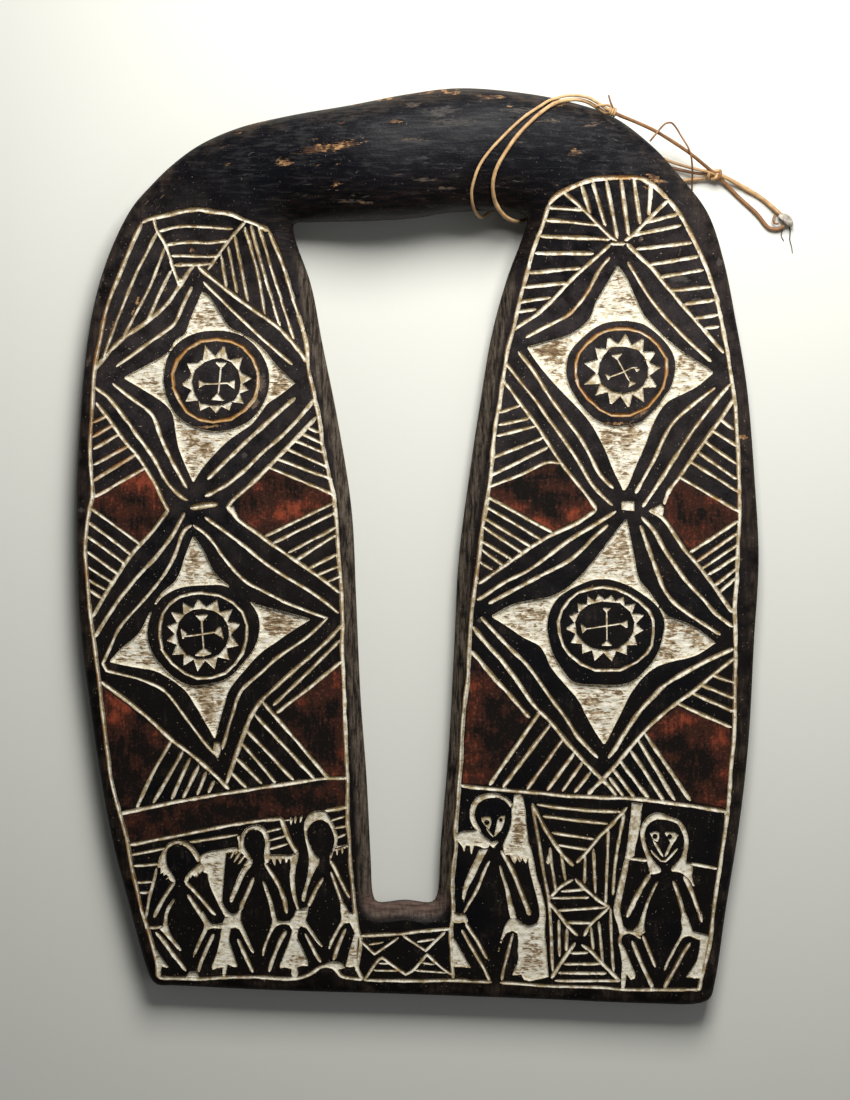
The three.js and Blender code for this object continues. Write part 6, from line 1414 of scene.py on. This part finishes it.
# the lump of gum on the tail ends
ico_u, ico_v = 20, 14
gv, gt = [], []
for i in range(ico_v + 1):
    for j in range(ico_u):
        a, b = math.pi * i / ico_v, 2 * math.pi * j / ico_u
        gv.append((math.sin(a) * math.cos(b), math.sin(a) * math.sin(b), math.cos(a)))
gv = np.array(gv)
bumps = 1 + (noise(gv[:, 0] * 3 + 9, gv[:, 1] * 3 + gv[:, 2] * 4, 1.1, 1.1, 3) - 0.5) * 0.5
gv = gv * bumps[:, None] * (6.0, 3.3, 3.2)
for i in range(ico_v):
    for j in range(ico_u):
        a, b = i * ico_u + j, i * ico_u + (j + 1) % ico_u
        c, d = (i + 1) * ico_u + j, (i + 1) * ico_u + (j + 1) % ico_u
        if i > 0:
            gt.append((a, c, b))
        if i < ico_v - 1:
            gt.append((b, c, d))
gum_lump = mesh_object("gum_on_tails", turned(gv, (245.6, 218.9, 4.2), -42), np.array(gt), 60)
gum_lump.data.materials.append(gum_mat)
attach(gum_lump, "root")
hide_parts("gum_lump")

loops = {}
for name, mat, sw in (
    ("cane_loop_outer", cane_light, (62, 148)), ("cane_loop_inner", cane_light, (40, 128)), ("cane_spare_end", cane_brown, ()),
    ("cane_link", cane_brown, ()), ("cane_tail_upper", cane_light, (18,)), ("cane_tail_lower", cane_brown, (30,)), ("cane_splinter", cane_brown, ()),
):
    loops[name] = strand(name, mat, swell_at=sw)
for name, end, at, stiff, held, pieces in (
    ("cane_loop_outer", "knot", 0, "stiff", "loose", [knot_small]), ("cane_loop_inner", "knot", 0, "stiff", "loose", []),
    ("cane_spare_end", "bare", 0, "stiff", "loose", []), ("cane_link", "knot", 0, "stiff", "taut", [knot_large]),
    ("cane_tail_upper", "knot", 0, "stiff", "loose", [gum_lump]), ("cane_tail_lower", "knot", 0, "stiff", "loose", []),
    ("cane_splinter", "bare", 0, "medium", "loose", []),
):
    obj, length, line = loops[name]

# short dark threads that hang from the gum, and a hook of cane by it
for k, (pts, r, mat) in enumerate((
    ([[243.8, 215.6, 2.0], [242.9, 211.6, 1.2], [242.6, 208.8, 0.7], [244.2, 205.6, 0.7]], 0.42, cane_dark),
    ([[247.6, 215.6, 2.2], [248.4, 211.0, 1.0], [248.2, 206.4, 0.7], [249.4, 201.6, 0.6], [250.0, 197.6, 0.6]], 0.42, cane_dark),
    ([[240.0, 224.3, 3.1], [242.2, 222.2, 3.6], [244.4, 220.1, 4.0]], 1.5, cane_light),
    ([[243.2, 214.4, 2.45], [244.6, 216.0, 3.0], [245.4, 217.6, 3.6]], 1.36, cane_brown),
    ([[238.2, 222.2, 3.0], [236.9, 219.6, 3.6], [237.8, 216.8, 3.6], [240.6, 216.6, 3.2]], 0.95, cane_brown),
)):
    c = catmull(pts, 6)
    tube(f"gum_thread_{k + 1}", c, r, mat, sides=6, taper=np.linspace(1, 0.6, len(c)))

# ---- floor, light ---------------------------------------------------------
floor_mesh = bpy.data.meshes.new("floor")
floor_mesh.from_pydata([(-6, -6, 0), (6, -6, 0), (6, 6, 0), (-6, 6, 0)], [], [(0, 1, 2, 3)])
floor = put(bpy.data.objects.new("floor", floor_mesh))
fm = bpy.data.materials.new("floor")
fm.use_nodes = True
fb = fm.node_tree.nodes["Principled BSDF"]
fb.inputs["Base Color"].default_value = srgb(224, 224, 216)
fb.inputs["Roughness"].default_value = 0.9
floor_mesh.materials.append(fm)


def lamp(name, place, target, size, power, tone=(1, 1, 1)):
    data = bpy.data.lights.new(name, "AREA")
    data.shape = "RECTANGLE"
    data.size, data.size_y = size
    data.energy = power
    data.color = tone
    o = put(bpy.data.objects.new(name, data))
    o.location = place
    o.rotation_mode = "QUATERNION"
    o.rotation_quaternion = (Vector(target) - Vector(place)).to_track_quat("-Z", "Y")
    return o


lamp("key", (0.17, 0.64, 0.66), (0.02, 0.02, 0), (0.5, 0.5), 12.0, (1.0, 0.99, 0.972))
lamp("fill", (1.5, -0.5, 1.3), (0, 0, 0), (1.2, 1.2), 3.0, (0.96, 0.98, 1.0))
world = bpy.data.worlds.new("world")
world.use_nodes = True
world.node_tree.nodes["Background"].inputs["Color"].default_value = (0.97, 0.985, 1.0, 1)
world.node_tree.nodes["Background"].inputs["Strength"].default_value = 0.08
scene.world = world
scene.view_settings.view_transform = "Standard"
